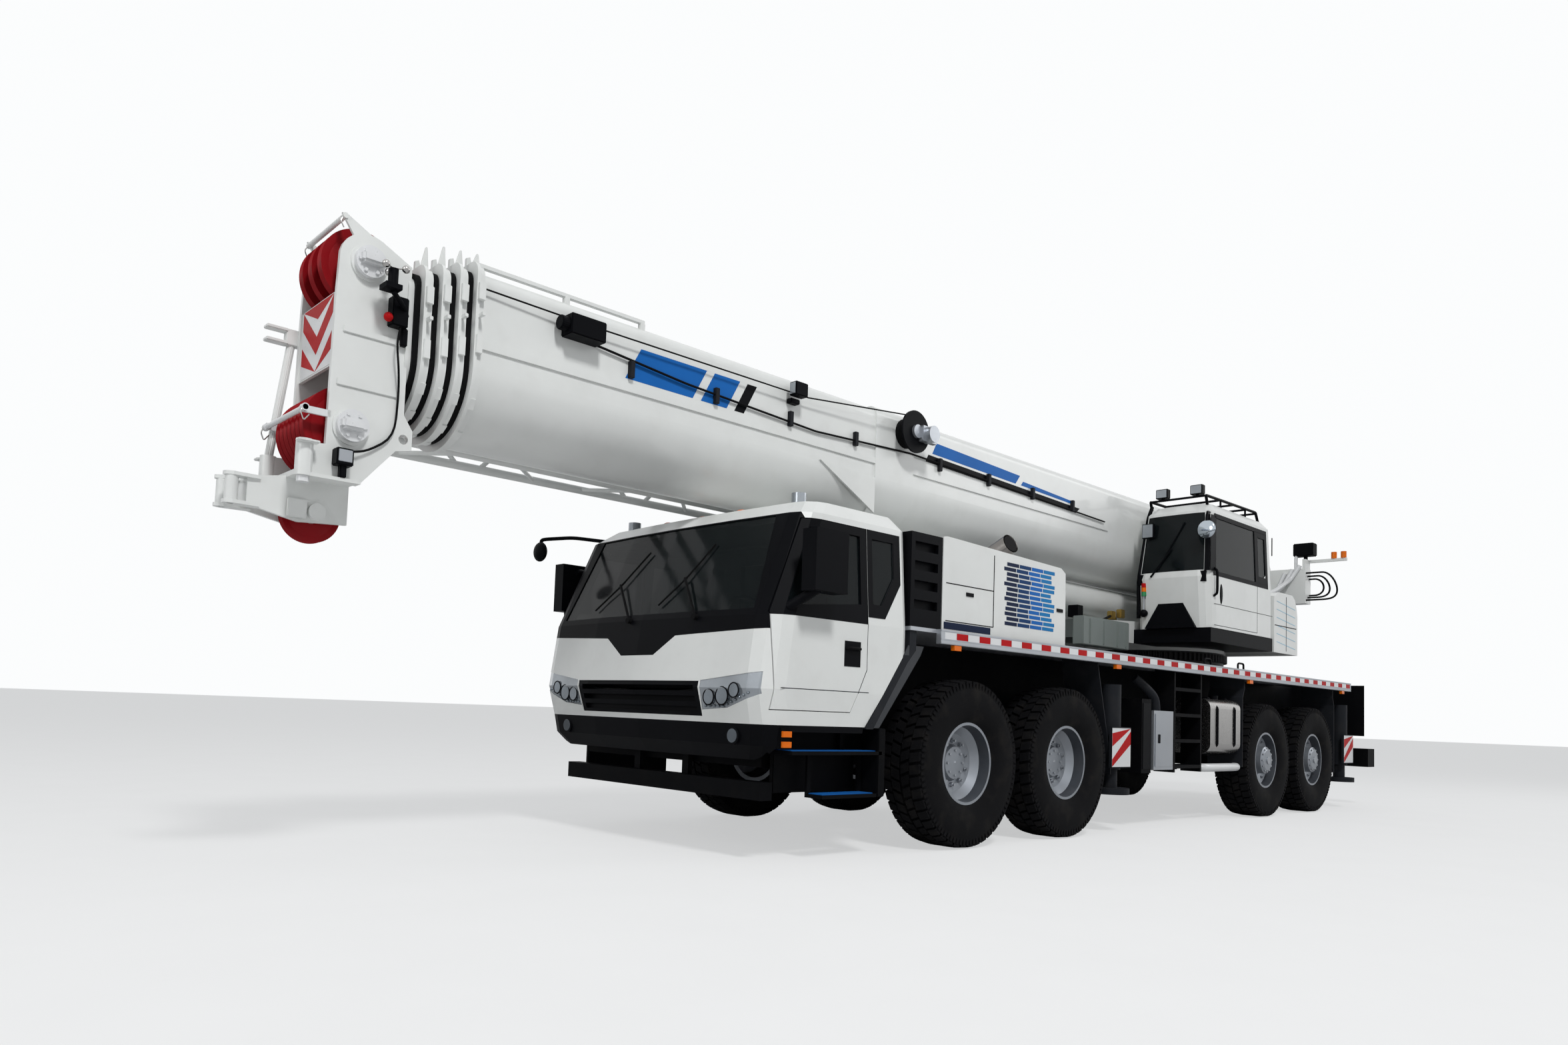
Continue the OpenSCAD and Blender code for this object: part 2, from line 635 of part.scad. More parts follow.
module operator_seat() {
  color(black) set_in() {
    box([-5800, -5350], [op_in + 200, op_out - 200], [2330, 2560]);
    box([-5860, -5740], [op_in + 210, op_out - 210], [2560, 3200]);
    box([-5700, -5450], [op_in + 340, op_out - 340], [2180, 2330]);
    for (y = [op_in + 100, op_out - 180]) box([-5650, -5150], [y, y + 80], [2180, 2620]);
  }
}
winch_z = 2830;
module winch() {
  color(grey) set_in() {
    rod_y(pivot_x, winch_z, [-plate_in, plate_in], 60);
    rod_y(pivot_x, winch_z, [-plate_in + 65, plate_in - 65], 170);
    both() rod_y(pivot_x, winch_z, [plate_in - 85, plate_in - 60], 240);
  }
}

// boom section outline: round below, small corners above
module boom_line(w, h) {
  r = w / 2;
  c = 90;
  translate([0, -h / 2 + r]) circle(r, $fn = 96);
  translate([-r, -h / 2 + r]) square([w, h - r - c]);
  translate([-r + c, 0]) square([w - 2 * c, h / 2]);
  for (i = [-1, 1]) translate([i * (r - c), h / 2 - c]) circle(c);
}
module boom_bar(k, g, x) {
  translate([x[0], 0, boom_zc]) rotate([90, 0, 90]) linear_extrude(x[1] - x[0])
    boom_line(boom_w - 2 * boom_step * k + 2 * g, boom_h - 2 * boom_step * k + 2 * g);
}
collar_x = [4030, 4130, 4230, 4330];
tail_x = [-7900, -7840, -7780, -7720, -7660];
function boom_top(k) = boom_zc + boom_h / 2 - boom_step * k;
module boom_tube(k, end) {
  difference() {
    union() {
      boom_bar(k, 0, [tail_x[k], end]);
      if (k < 4) {
        boom_bar(k, 45, [end - 22, end]);
        boom_bar(k, 30, [end - 60, end]);
        both() side_cut([[end - 60, boom_top(k)], [end - 5, boom_top(k)],
          [end - 5, boom_top(k) + 100], [end - 28, boom_top(k) + 110]],
          [boom_w / 2 - boom_step * k - 150, boom_w / 2 - boom_step * k - 125]);
        for (a = [-60:30:60]) translate([end - 60, 0, boom_zc - boom_h / 2 + boom_w / 2]) rotate([a, 0, 0])
          translate([0, -35, -boom_w / 2 + boom_step * k - 40]) cube([55, 70, 40]);
      }
    }
    boom_bar(k, -boom_t, [tail_x[k] - 10, end - 60]);
    boom_bar(k + 1, seal, [end - 70, end + 10]);
  }
  if (k > 0) difference() {
    boom_bar(k - 1, -boom_t - seal, [tail_x[k], tail_x[k] + 160]);
    boom_bar(k, -boom_t / 2, [tail_x[k] - 10, tail_x[k] + 200]);
  }
}
module boom_base() {
  color(white) set_in() {
    boom_tube(0, collar_x[0]);
    both() difference() {
      union() {
        side_cut([[-7500, boom_low + 250], [-7500, boom_zc + boom_h / 2 - 100],
          [-8200, pivot_z + 200], [-8200, pivot_z - 200]],
          [boom_w / 2 - 40, boom_w / 2]);
        rod_y(pivot_x, pivot_z, [boom_w / 2 - 60, boom_w / 2], 210);
      }
      boom_bar(0, -boom_t / 2, [tail_x[0] - 50, tail_x[0] + 3000]);
    }
    rod_y(pivot_x, pivot_z, [-plate_out - 30, plate_out + 30], 90);
    difference() {
      both() side_cut([[eye_x - 330, boom_low + 60], [eye_x + 330, boom_low + 60],
        [eye_x + 170, lift_z - 150], [eye_x - 170, lift_z - 150]], [150, 190]);
      boom_bar(0, -boom_t / 2, [eye_x - 400, eye_x + 400]);
    }
    both() rod_y(eye_x, lift_z, [190, 230], 110);
    difference() {
      boom_bar(0, 16, [-400, 130]);
      boom_bar(0, -boom_t / 2, [-500, 200]);
    }
    both() side_cut([[830, 3140], [130, 3110], [130, 2800]], [boom_w / 2 - 4, boom_w / 2 + 16]);
    both() box([-4000, 3960], [boom_w / 2 - 4, boom_w / 2 + 14], [3240, 3290]);
    box([2600, 4000], [120, 180], [boom_top(0) + 25, boom_top(0) + 45]);
    for (x = [2620, 3300, 3950]) box([x, x + 40], [120, 180], [boom_top(0) - 4, boom_top(0) + 30]);
    rod_y(-260, 3580, [boom_w / 2 - 4, boom_w / 2 + 150], 60);
    rod_y(-260, 3580, [boom_w / 2 + 130, boom_w / 2 + 150], 190);
  }
}
module boom_2() { color(white) set_in() boom_tube(1, collar_x[1]); }
module boom_3() { color(white) set_in() boom_tube(2, collar_x[2]); }
module boom_4() { color(white) set_in() boom_tube(3, collar_x[3]); }
head_y = 300;
top_pin = [4650, 3610];
low_pin = [4700, 2610];
nose_pin = [4800, 2110];
lug_pin = [4375, 2600];
lug_bore = 30;
jib_bore = 24;
foot_x = 4960;
nose_x = 5190;
nose_tube = [front_end - 45, 80];
// one cheek of the head, rounded about the top sheaves
cheek = concat([[4380, 2750], [4380, 3670]],
  [for (a = [115:-15:10]) top_pin + 175 * [cos(a), sin(a)]],
  [[4830, 3400], [4840, 2480], [4980, 2470], [4980, 2290], [4620, 2290],
   [4420, 2520], [4320, 2540], [4320, 2660]]);
fork = [[nose_x - 70, 30], [nose_x - 70, 110], [nose_tube[0], 122], [front_end - 8, 106],
  [front_end, 90], [front_end, 66], [nose_tube[0], 38]];
module boom_head() {
  color(white) set_in() {
    boom_tube(4, 4400);
    difference() {
      union() {
        both() side_cut(cheek, [head_y - 30, head_y]);
        both() rod_z(foot_x, head_y + 10, [2270, 2480], 48);
        both() box([4640, foot_x], [head_y - 30, head_y + 50], [2270, 2290]);
        box([4620, 4980], [-head_y + 30, head_y - 30], [2290, 2320]);
      }
      both() rod_y(lug_pin[0], lug_pin[1], [0, 400], lug_bore);
      both() rod_z(foot_x, head_y + 10, [2200, 2500], jib_bore);
    }
    box([4380, 4400], [-head_y + 30, head_y - 30], [2760, 3640]);
    box([4800, 4820], [-head_y + 30, head_y - 30], [2960, 3400]);
    for (p = [top_pin, low_pin]) {
      rod_y(p[0], p[1], [-head_y - 30, head_y + 30], 60);
      both() rod_y(p[0], p[1], [head_y - 4, head_y + 12], 112);
    }
    both() side_cut([[4610, 2060], [4610, 2300], [4980, 2300], [nose_x, 2262], [nose_x, 2100],
      [4900, 2040]],
      [70, 95]);
    box([nose_x - 20, nose_x], [-95, 95], [2100, 2262]);
    both() difference() {
      union() {
        rod_z(nose_tube[0], nose_tube[1], [2090, 2270], 36);
        for (z = [2090, 2250]) translate([0, 0, z]) linear_extrude(20) polygon(fork);
      }
      rod_z(nose_tube[0], nose_tube[1], [2080, 2280], 18);
    }
    rod_y(nose_pin[0], nose_pin[1], [-130, 130], 50);
    rod_y(4803, 3854, [-head_y, head_y], 16);
    both() side_cut([[4690, 3700], [4740, 3750], [4820, 3870], [4790, 3870], [4640, 3790]],
      [head_y - 30, head_y - 10]);
  }
}
module sheave(p, y, r) {
  translate([p[0], y, p[1]]) rotate([-90, 0, 0]) rotate_extrude($fn = 64)
    polygon([[60.5, -28], [r * 0.8, -22], [r, -30], [r - 25, 0], [r, 30], [r * 0.8, 22], [60.5, 28]]);
}
module sheaves() {
  color(red) set_in() {
    for (y = [-150, 0, 150]) sheave(top_pin, y, 240);
    for (y = [-200:66:200]) sheave(low_pin, y, 250);
    sheave(nose_pin, 0, 175);
  }
}
module lift_barrel() {
  color(white) set_in() {
    difference() {
      union() {
        rod_x(0, lift_z, [lift_x + 60, eye_x - 700], lift_r);
        rod_y(lift_x, lift_z, [-lift_r, lift_r], 150);
      }
      rod_x(0, lift_z, [lift_x + 250, eye_x - 600], 120 + gap);
    }
    rod_y(lift_x, lift_z, [-plate_in, plate_in], 70);
  }
}
module lift_rod() {
  color(steel) set_in() {
    difference() {
      union() {
        rod_x(0, lift_z, [lift_x + 400, eye_x - 100], 120);
        rod_y(eye_x, lift_z, [-120, 120], 150);
      }
      rod_y(eye_x, lift_z, [-200, 200], 80);
    }
  }
}
// lattice jib: four chords with zigzag bracing in every face
module fly_jib() {
  n = 9;
  x0 = -3100;
  x1 = 4100;
  ya = -560;
  yb = -940;
  za = 2820;
  zb = 3430;
  pitch = (x1 - x0) / n;
  color(white) set_in() {
    for (y = [ya, yb]) for (z = [za, zb]) rod_x(y, z, [x0, x1], 32);
    for (i = [0:n - 1]) let (a = x0 + pitch * i + 90, b = x0 + pitch * (i + 1) - 90, up = i % 2 == 0) {
      for (y = [ya, yb]) strut([a, y, up ? za : zb], [b, y, up ? zb : za], 18);
      for (z = [za, zb]) strut([a + 130, up ? ya : yb, z], [b - 130, up ? yb : ya, z], 16);
    }
    for (x = [-2400, 1600]) box([x, x + 120], [ya, -boom_w / 2], [zb - 15, zb + 15]);
    for (z = [za, zb]) box([x1 - 40, x1], [yb, ya], [z - 15, z + 15]);
  }
}

frame();
axles();
engine();
deck();
slew_ring();
cab_shell();
cab_glass();
cab_trim();
cab_interior();
door_left();
door_right();
lamps();
steps();
engine_cover();
air_intake();
mudguards();
fuel_tank();
side_boxes();
knuckle_1_left();
knuckle_1_right();
knuckle_2_left();
knuckle_2_right();
tyre_1_left();
tyre_1_right();
tyre_2_left();
tyre_2_right();
tyre_3_left();
tyre_3_right();
tyre_4_left();
tyre_4_right();
rim_1_left();
rim_1_right();
rim_2_left();
rim_2_right();
rim_3_left();
rim_3_right();
rim_4_left();
rim_4_right();
beam_front_left();
beam_front_right();
beam_rear_left();
beam_rear_right();
jack_front_left();
jack_front_right();
jack_rear_left();
jack_rear_right();
turntable();
operator_cab();
operator_glass();
operator_seat();
winch();
boom_base();
boom_2();
boom_3();
boom_4();
boom_head();
sheaves();
lift_barrel();
lift_rod();
fly_jib();
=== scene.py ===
import math
import bpy
import bmesh
from mathutils import Matrix, Vector


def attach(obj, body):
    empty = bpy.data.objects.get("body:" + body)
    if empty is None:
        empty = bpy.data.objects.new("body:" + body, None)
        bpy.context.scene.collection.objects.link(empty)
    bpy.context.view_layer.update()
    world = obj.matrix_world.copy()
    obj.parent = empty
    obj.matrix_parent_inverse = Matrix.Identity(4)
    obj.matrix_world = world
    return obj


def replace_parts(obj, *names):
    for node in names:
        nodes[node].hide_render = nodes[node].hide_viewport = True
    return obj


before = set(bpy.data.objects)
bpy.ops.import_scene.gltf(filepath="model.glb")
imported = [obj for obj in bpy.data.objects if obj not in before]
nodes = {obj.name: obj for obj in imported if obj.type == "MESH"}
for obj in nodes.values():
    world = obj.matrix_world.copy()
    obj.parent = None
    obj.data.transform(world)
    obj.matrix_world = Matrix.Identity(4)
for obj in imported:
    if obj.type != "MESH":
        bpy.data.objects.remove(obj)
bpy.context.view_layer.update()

# metres; x is written from the first axle, which lies SHIFT ahead of the frame's origin
SHIFT = 2.380
AXLES = (0.0, -1.520, -6.100, -7.640)
HUB_Z, HALF_TRACK = 0.675, 1.228
DECK_TOP = 1.720
BOOM_Y, BOOM_Z = 0.43, 3.22
REEL_X, REEL_Z = -0.26, 3.58
SECTION_ENDS = (4.030, 4.130, 4.230, 4.330)
SECTION_BODIES = ("boom", "section_2", "section_3", "section_4")
HEAD = "section_5"
SIDES = (("left", 1), ("right", -1))
CUBE_FACES = ((0, 1, 2, 3), (7, 6, 5, 4), (0, 4, 5, 1), (1, 5, 6, 2), (2, 6, 7, 3), (3, 7, 4, 0))


def circle(r, steps=24):
    """points of a closed circle about the origin"""
    return [(r * math.cos(k * math.pi * 2 / steps), r * math.sin(k * math.pi * 2 / steps))
            for k in range(steps + 1)]


def around(mid, half):
    """the two ends of a span about its middle"""
    return mid - half, mid + half


def mat(name, col, rough=0.5, metal=0.0, grain=40.0, vary=0.12, bump=0.05, dirt=0.0, coat=0.0, spec=0.5):
    """painted, metal or rubber surface with uneven colour, dirt patches and a fine grain"""
    m = bpy.data.materials.new(name)
    m.use_nodes = True
    nt = m.node_tree
    link = nt.links.new
    b = nt.nodes["Principled BSDF"]
    tc = nt.nodes.new("ShaderNodeTexCoord")

    def noise(scale, detail):
        n = nt.nodes.new("ShaderNodeTexNoise")
        n.inputs["Scale"].default_value = scale
        n.inputs["Detail"].default_value = detail
        link(tc.outputs["Object"], n.inputs["Vector"])
        return n

    def ramp(src, lo, hi, c0, c1):
        r = nt.nodes.new("ShaderNodeValToRGB")
        r.color_ramp.elements[0].position = lo
        r.color_ramp.elements[1].position = hi
        r.color_ramp.elements[0].color = (*c0, 1)
        r.color_ramp.elements[1].color = (*c1, 1)
        link(src.outputs["Fac"], r.inputs["Fac"])
        return r

    big = noise(1.7, 5.0)
    c0 = tuple(max(0.0, c * (1 - vary)) for c in col)
    c1 = tuple(min(1.0, c * (1 + vary * 0.5)) for c in col)
    base = ramp(big, 0.3, 0.7, c0, c1)
    out = base.outputs["Color"]
    if dirt > 0:
        d = noise(6.0, 8.0)
        dr = ramp(d, 0.5, 0.75, (0, 0, 0), (dirt, dirt, dirt))
        mix = nt.nodes.new("ShaderNodeMix")
        mix.data_type = "RGBA"
        mix.inputs["B"].default_value = (0.22, 0.19, 0.15, 1)
        link(dr.outputs["Color"], mix.inputs["Factor"])
        link(out, mix.inputs["A"])
        out = mix.outputs["Result"]
    link(out, b.inputs["Base Color"])
    fine = noise(grain, 6.0)
    rr = nt.nodes.new("ShaderNodeMapRange")
    rr.inputs["To Min"].default_value = max(0.02, rough - 0.08)
    rr.inputs["To Max"].default_value = min(1.0, rough + 0.1)
    link(fine.outputs["Fac"], rr.inputs["Value"])
    link(rr.outputs["Result"], b.inputs["Roughness"])
    b.inputs["Metallic"].default_value = metal
    b.inputs["Specular IOR Level"].default_value = spec
    b.inputs["Coat Weight"].default_value = coat
    b.inputs["Coat Roughness"].default_value = 0.08
    bp = nt.nodes.new("ShaderNodeBump")
    bp.inputs["Strength"].default_value = bump
    bp.inputs["Distance"].default_value = 0.004
    link(fine.outputs["Fac"], bp.inputs["Height"])
    link(bp.outputs["Normal"], b.inputs["Normal"])
    return m


def glass_mat(name, col, alpha):
    """tinted pane that lets part of the light through"""
    m = mat(name, col, rough=0.06, grain=3.0, vary=0.1, bump=0.01)
    b = m.node_tree.nodes["Principled BSDF"]
    b.inputs["Alpha"].default_value = alpha
    b.inputs["Specular IOR Level"].default_value = 0.16
    return m


WHITE = mat("white", (0.74, 0.755, 0.74), rough=0.32, grain=60, vary=0.04, bump=0.02, dirt=0.05, coat=0.25)
BLACK = mat("black", (0.0035, 0.0037, 0.0045), grain=50, vary=0.2, dirt=0.01, spec=0.03)
TRIM = mat("trim", (0.0035, 0.0038, 0.005), rough=0.42, grain=260, vary=0.2, bump=0.12, spec=0.04)
GREY = mat("grey", (0.016, 0.0175, 0.021), grain=70, vary=0.15, dirt=0.03, spec=0.06)
RAIL = mat("rail", (0.42, 0.44, 0.47), rough=0.4, metal=0.75, grain=90, vary=0.1, bump=0.04, dirt=0.06)
PLATE = mat("plate", (0.05, 0.052, 0.057), rough=0.6, grain=120, vary=0.2, bump=0.25, dirt=0.15)
BRIGHT = mat("bright", (0.40, 0.39, 0.38), rough=0.24, metal=1.0, grain=80, vary=0.08, bump=0.02)
WHEEL = mat("wheel", (0.27, 0.29, 0.32), rough=0.38, metal=0.6, grain=70, vary=0.1,
            bump=0.03, dirt=0.08, spec=0.3)
# painted shade: darker rim colour for the dished inside of the rims
RIM_SHADE = mat("wheel_well", (0.075, 0.082, 0.095), rough=0.4, metal=0.5, grain=70, vary=0.1,
           bump=0.03, dirt=0.08, spec=0.2)
FENDER = mat("fender", (0.045, 0.048, 0.053), rough=0.45, grain=70, dirt=0.05, spec=0.12)
SILVER = mat("silver", (0.36, 0.38, 0.41), rough=0.32, metal=0.7, grain=70, vary=0.08, bump=0.03, dirt=0.05)
CHROME = mat("chrome", (0.46, 0.45, 0.44), rough=0.14, metal=1.0, grain=50, vary=0.08, bump=0.01)
GEAR = mat("gear", (0.02, 0.02, 0.022), metal=0.3, grain=60, vary=0.2, bump=0.08, dirt=0.06, spec=0.2)
TYRE = mat("tyre", (0.006, 0.006, 0.0068), rough=0.75, grain=180, vary=0.25, bump=0.3, dirt=0.04, spec=0.05)
SEAT = mat("seat", (0.03, 0.031, 0.035), rough=0.85, grain=400, vary=0.2, bump=0.4)
RED = mat("red", (0.26, 0.004, 0.008), rough=0.4, grain=60, bump=0.04, dirt=0.03, spec=0.15)
LAMP = mat("lamp", (0.34, 0.37, 0.40), rough=0.15, metal=0.5, grain=30, vary=0.35, bump=0.15, coat=0.3)
LENS = mat("lens", (0.20, 0.23, 0.26), rough=0.08, metal=0.7, grain=14, vary=0.5, bump=0.1, coat=0.3)
AMBER = mat("amber", (0.80, 0.16, 0.005), rough=0.3, vary=0.1, bump=0.03, coat=0.1, spec=0.15)
SIGN_R = mat("sign_red", (0.45, 0.008, 0.010), rough=0.4, grain=60, vary=0.08, bump=0.03, spec=0.06)
SIGN_W = mat("sign_white", (0.72, 0.73, 0.74), rough=0.3, metal=0.1, grain=60, vary=0.06, bump=0.03)
BLUE = mat("blue", (0.012, 0.13, 0.45), rough=0.4, grain=60, vary=0.1, bump=0.03, spec=0.08)
NAVY = mat("navy", (0.009, 0.017, 0.048), rough=0.4, grain=60, vary=0.1, bump=0.03, spec=0.06)
DEEP = mat("deep", (0.010, 0.045, 0.14), rough=0.4, grain=60, vary=0.1, bump=0.03, spec=0.06)
SKY = mat("sky", (0.012, 0.18, 0.44), rough=0.4, grain=60, vary=0.1, bump=0.03, spec=0.08)
PALE = mat("pale", (0.30, 0.55, 0.70), rough=0.4, grain=60, vary=0.06, bump=0.03)
BRASS = mat("brass", (0.36, 0.25, 0.07), rough=0.35, metal=0.8, grain=60, vary=0.2, dirt=0.1)
GLASS = glass_mat("glass", (0.007, 0.010, 0.011), 0.72)
LINING = mat("lining", (0.035, 0.036, 0.04), rough=0.8, grain=300, vary=0.15, bump=0.2, spec=0.1)
PIPE = mat("pipe", (0.20, 0.19, 0.18), rough=0.22, metal=1.0, grain=60, vary=0.25, bump=0.03)
MIRROR = mat("mirror", (0.45, 0.50, 0.55), rough=0.05, metal=1.0, grain=10, vary=0.02, bump=0.0)
GREY_GREEN = mat("primer", (0.20, 0.23, 0.22), grain=60, vary=0.1, dirt=0.1)
RUBBER = mat("rubber", (0.006, 0.006, 0.0065), rough=0.6, grain=140, vary=0.2, bump=0.15, spec=0.04)
GREEN = mat("green", (0.01, 0.22, 0.07), rough=0.3, vary=0.1, bump=0.03)


def paint(m, *names):
    """gives one material to whole CAD nodes"""
    for n in names:
        o = nodes[n]
        o.data.materials.clear()
        o.data.materials.append(m)


def faces(name, m, test):
    """gives a second material to the faces of a CAD node that pass a test"""
    me = nodes[name].data
    me.materials.append(m)
    k = len(me.materials) - 1
    for p in me.polygons:
        vs = [me.vertices[i].co for i in p.vertices]
        if test(p.center, p.normal, vs):
            p.material_index = k


paint(WHITE, "cab_shell", "door_left", "door_right", "engine_cover", "turntable", "operator_cab",
      "boom_base", "boom_2", "boom_3", "boom_4", "boom_head", "lift_barrel", "fly_jib")
paint(BLACK, "frame", "axles", "steps")
paint(TRIM, "cab_trim", "air_intake")
paint(GREY, "mudguards", "winch", *[n for n in nodes if n.startswith(("knuckle", "beam", "jack"))])
paint(RAIL, "deck")
paint(BRIGHT, "fuel_tank")
paint(CHROME, "lift_rod")
paint(PIPE, "engine")
paint(SILVER, "side_boxes")
paint(WHEEL, *[n for n in nodes if n.startswith("rim")])
paint(GEAR, "slew_ring")
paint(TYRE, *[n for n in nodes if n.startswith("tyre")])
paint(SEAT, "cab_interior", "operator_seat")
paint(RED, "sheaves")
paint(LAMP, "lamps")
paint(GLASS, "cab_glass", "operator_glass")

# the door's pane in (x, z), its belt line and its outer skin, beyond which the mirror hangs
PANE = [(2.080 + SHIFT, 1.760), (1.850 + SHIFT, 2.330), (1.340 + SHIFT, 2.330), (1.340 + SHIFT, 1.830)]
DOOR_BELT, DOOR_SKIN = 1.692, 1.385


def inside(poly, x, z, tol=0.003):
    """true for a point within a convex outline, or off it by less than tol"""
    n = len(poly)
    for i in range(n):
        ax, az = poly[i]
        bx, bz = poly[(i + 1) % n]
        if (bx - ax) * (z - az) - (bz - az) * (x - ax) < -tol:
            return False
    return True


def on_pane(c, n, vs):
    return abs(n.y) > 0.5 and abs(c.y) < DOOR_SKIN and all(inside(PANE, v.x, v.z) for v in vs)


def on_reel(c, n, vs):
    return all(v.y > 0.431 and math.hypot(v.x - REEL_X - SHIFT, v.z - REEL_Z) < 0.2 for v in vs)


# parts of CAD nodes in another finish
for door in ("door_left", "door_right"):
    faces(door, TRIM, lambda c, n, vs: c.z > DOOR_BELT or abs(c.y) > DOOR_SKIN)
    faces(door, GLASS, on_pane)
faces("deck", PLATE, lambda c, n, vs: n.z > 0.5 and abs(c.y) < 1.39)
faces("operator_cab", TRIM, lambda c, n, vs: c.z < 2.14)
for n, mid in (("cab_shell", (1.5 + SHIFT, 0.0, 1.8)), ("operator_cab", (-5.4 + SHIFT, 0.95, 2.85))):
    faces(n, LINING, lambda c, nrm, vs, mid=mid: (Vector(mid) - c).dot(nrm) > 0.0 and c.z > 1.2)
faces("boom_base", TRIM, on_reel)
faces("side_boxes", BLACK, lambda c, n, vs: all(v.x > -3.16 + SHIFT for v in vs))
faces("lamps", SIGN_R, lambda c, n, vs: c.x < -9.0 + SHIFT)
# the turntable's front below 2.2 m is grey-green, darker than its white
faces("turntable", GREY_GREEN, lambda c, n, vs: all(v.x > -4.33 + SHIFT and v.z < 2.2 for v in vs))


def put(name, me, m, body):
    """links a mesh as a piece that rides on a body"""
    o = bpy.data.objects.new(name, me)
    bpy.context.collection.objects.link(o)
    if not me.materials:
        me.materials.append(m)
    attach(o, body)
    return o


class Group:
    """gathers like solids into one piece"""

    def __init__(self, name, m, body, bevel=0.0, smooth=False):
        self.bm = bmesh.new()
        self.args = (name, m, body)
        self.bevel = bevel
        self.smooth = smooth

    def box(self, x, y, z):
        """block between two places along each axis"""
        c = Vector(((x[0] + x[1]) / 2 + SHIFT, (y[0] + y[1]) / 2, (z[0] + z[1]) / 2))
        s = Matrix.Diagonal((x[1] - x[0], y[1] - y[0], z[1] - z[0], 1))
        bmesh.ops.create_cube(self.bm, size=1.0, matrix=Matrix.Translation(c) @ s)
        return self

    def rod(self, p, q, r, seg=24):
        """round bar between two points"""
        p, q = Vector(p), Vector(q)
        p.x += SHIFT
        q.x += SHIFT
        d = q - p
        t = d.to_track_quat("Z", "Y").to_matrix().to_4x4()
        bmesh.ops.create_cone(self.bm, cap_ends=True, segments=seg, radius1=r, radius2=r, depth=d.length,
                              matrix=Matrix.Translation((p + q) / 2) @ t)
        return self

    def ball(self, p, r, squash=(1, 1, 1)):
        """ball, or an egg where squash says so"""
        m = Matrix.Translation(Vector((p[0] + SHIFT, p[1], p[2]))) @ Matrix.Diagonal((*squash, 1))
        bmesh.ops.create_uvsphere(self.bm, u_segments=24, v_segments=14, radius=r, matrix=m)
        return self

    def plate(self, pts, lo, hi, axis="y"):
        """outline in (x, z), (y, z) or (x, y) made as thick as lo to hi along the axis left out"""
        def at(p, w):
            if axis == "y":
                return (p[0] + SHIFT, w, p[1])
            if axis == "x":
                return (w + SHIFT, p[0], p[1])
            return (p[0] + SHIFT, p[1], w)
        a = [self.bm.verts.new(at(p, lo)) for p in pts]
        b = [self.bm.verts.new(at(p, hi)) for p in pts]
        n = len(pts)
        self.bm.faces.new(a)
        self.bm.faces.new(b[::-1])
        for i in range(n):
            self.bm.faces.new((a[i], b[i], b[(i + 1) % n], a[(i + 1) % n]))
        return self

    def sheet(self, pts, thick):
        """flat outline in space given a thickness along its own normal"""
        ps = [Vector((p[0] + SHIFT, p[1], p[2])) for p in pts]
        n = (ps[1] - ps[0]).cross(ps[2] - ps[0]).normalized() * thick
        a = [self.bm.verts.new(p - n) for p in ps]
        b = [self.bm.verts.new(p + n) for p in ps]
        k = len(ps)
        self.bm.faces.new(a)
        self.bm.faces.new(b[::-1])
        for i in range(k):
            self.bm.faces.new((a[i], b[i], b[(i + 1) % k], a[(i + 1) % k]))
        return self

    def hoop(self, outer, inner, lo, hi):
        """closed band between two outlines in (y, z)"""
        rows = [[self.bm.verts.new((w + SHIFT, *p)) for p in line]
                for line, w in ((outer, lo), (outer, hi), (inner, hi), (inner, lo))]
        n = len(outer)
        for j in range(4):
            a, b = rows[j], rows[(j + 1) % 4]
            for i in range(n):
                self.bm.faces.new((a[i], a[(i + 1) % n], b[(i + 1) % n], b[i]))
        return self

    def tube(self, pts, r, seg=10, round_off=True):
        """round tube through points; a bend takes the share round_off of its legs, or as r asks if True"""
        ps = [Vector((p[0] + SHIFT, p[1], p[2])) for p in pts]
        if round_off and len(ps) > 2:
            out = [ps[0]]
            for i in range(1, len(ps) - 1):
                a, b, c = ps[i - 1], ps[i], ps[i + 1]
                k = round_off
                if round_off is True:
                    k = min(0.45, *(4 * r / max(1e-6, (end - b).length) for end in (a, c)))
                s, e = b.lerp(a, k), b.lerp(c, k)
                for t in (0, 0.25, 0.5, 0.75, 1):
                    out.append(s.lerp(b, t).lerp(b.lerp(e, t), t))
            out.append(ps[-1])
            ps = out
        turns = [2 * math.pi * k / seg for k in range(seg)]
        rings = []
        side = None
        for i, p in enumerate(ps):
            d = (ps[min(i + 1, len(ps) - 1)] - ps[max(i - 1, 0)]).normalized()
            if side is None:
                side = d.orthogonal().normalized()
            else:
                side = (side - d * side.dot(d)).normalized()
            w = d.cross(side)
            rings.append([self.bm.verts.new(p + r * (math.cos(a) * side + math.sin(a) * w)) for a in turns])
        for a, b in zip(rings, rings[1:]):
            for k in range(seg):
                self.bm.faces.new((a[k], a[(k + 1) % seg], b[(k + 1) % seg], b[k]))
        self.bm.faces.new(rings[0][::-1])
        self.bm.faces.new(rings[-1])
        return self

    def done(self):
        """ends the piece and puts it on its body"""
        if self.bevel:
            bmesh.ops.bevel(self.bm, geom=self.bm.edges[:], offset=self.bevel, segments=2, affect="EDGES",
                            clamp_overlap=True)
        bmesh.ops.recalc_face_normals(self.bm, faces=self.bm.faces[:])
        me = bpy.data.meshes.new(self.args[0])
        self.bm.to_mesh(me)
        self.bm.free()
        if self.smooth:
            for p in me.polygons:
                p.use_smooth = True
            me.set_sharp_from_angle(angle=math.radians(35))
        return put(self.args[0], me, self.args[1], self.args[2])


# tyres: block tread over a carcass of the CAD's section
TREAD_R, TYRE_HALF, BORE_R = 0.6745, 0.192, 0.3303
LUGS = 44


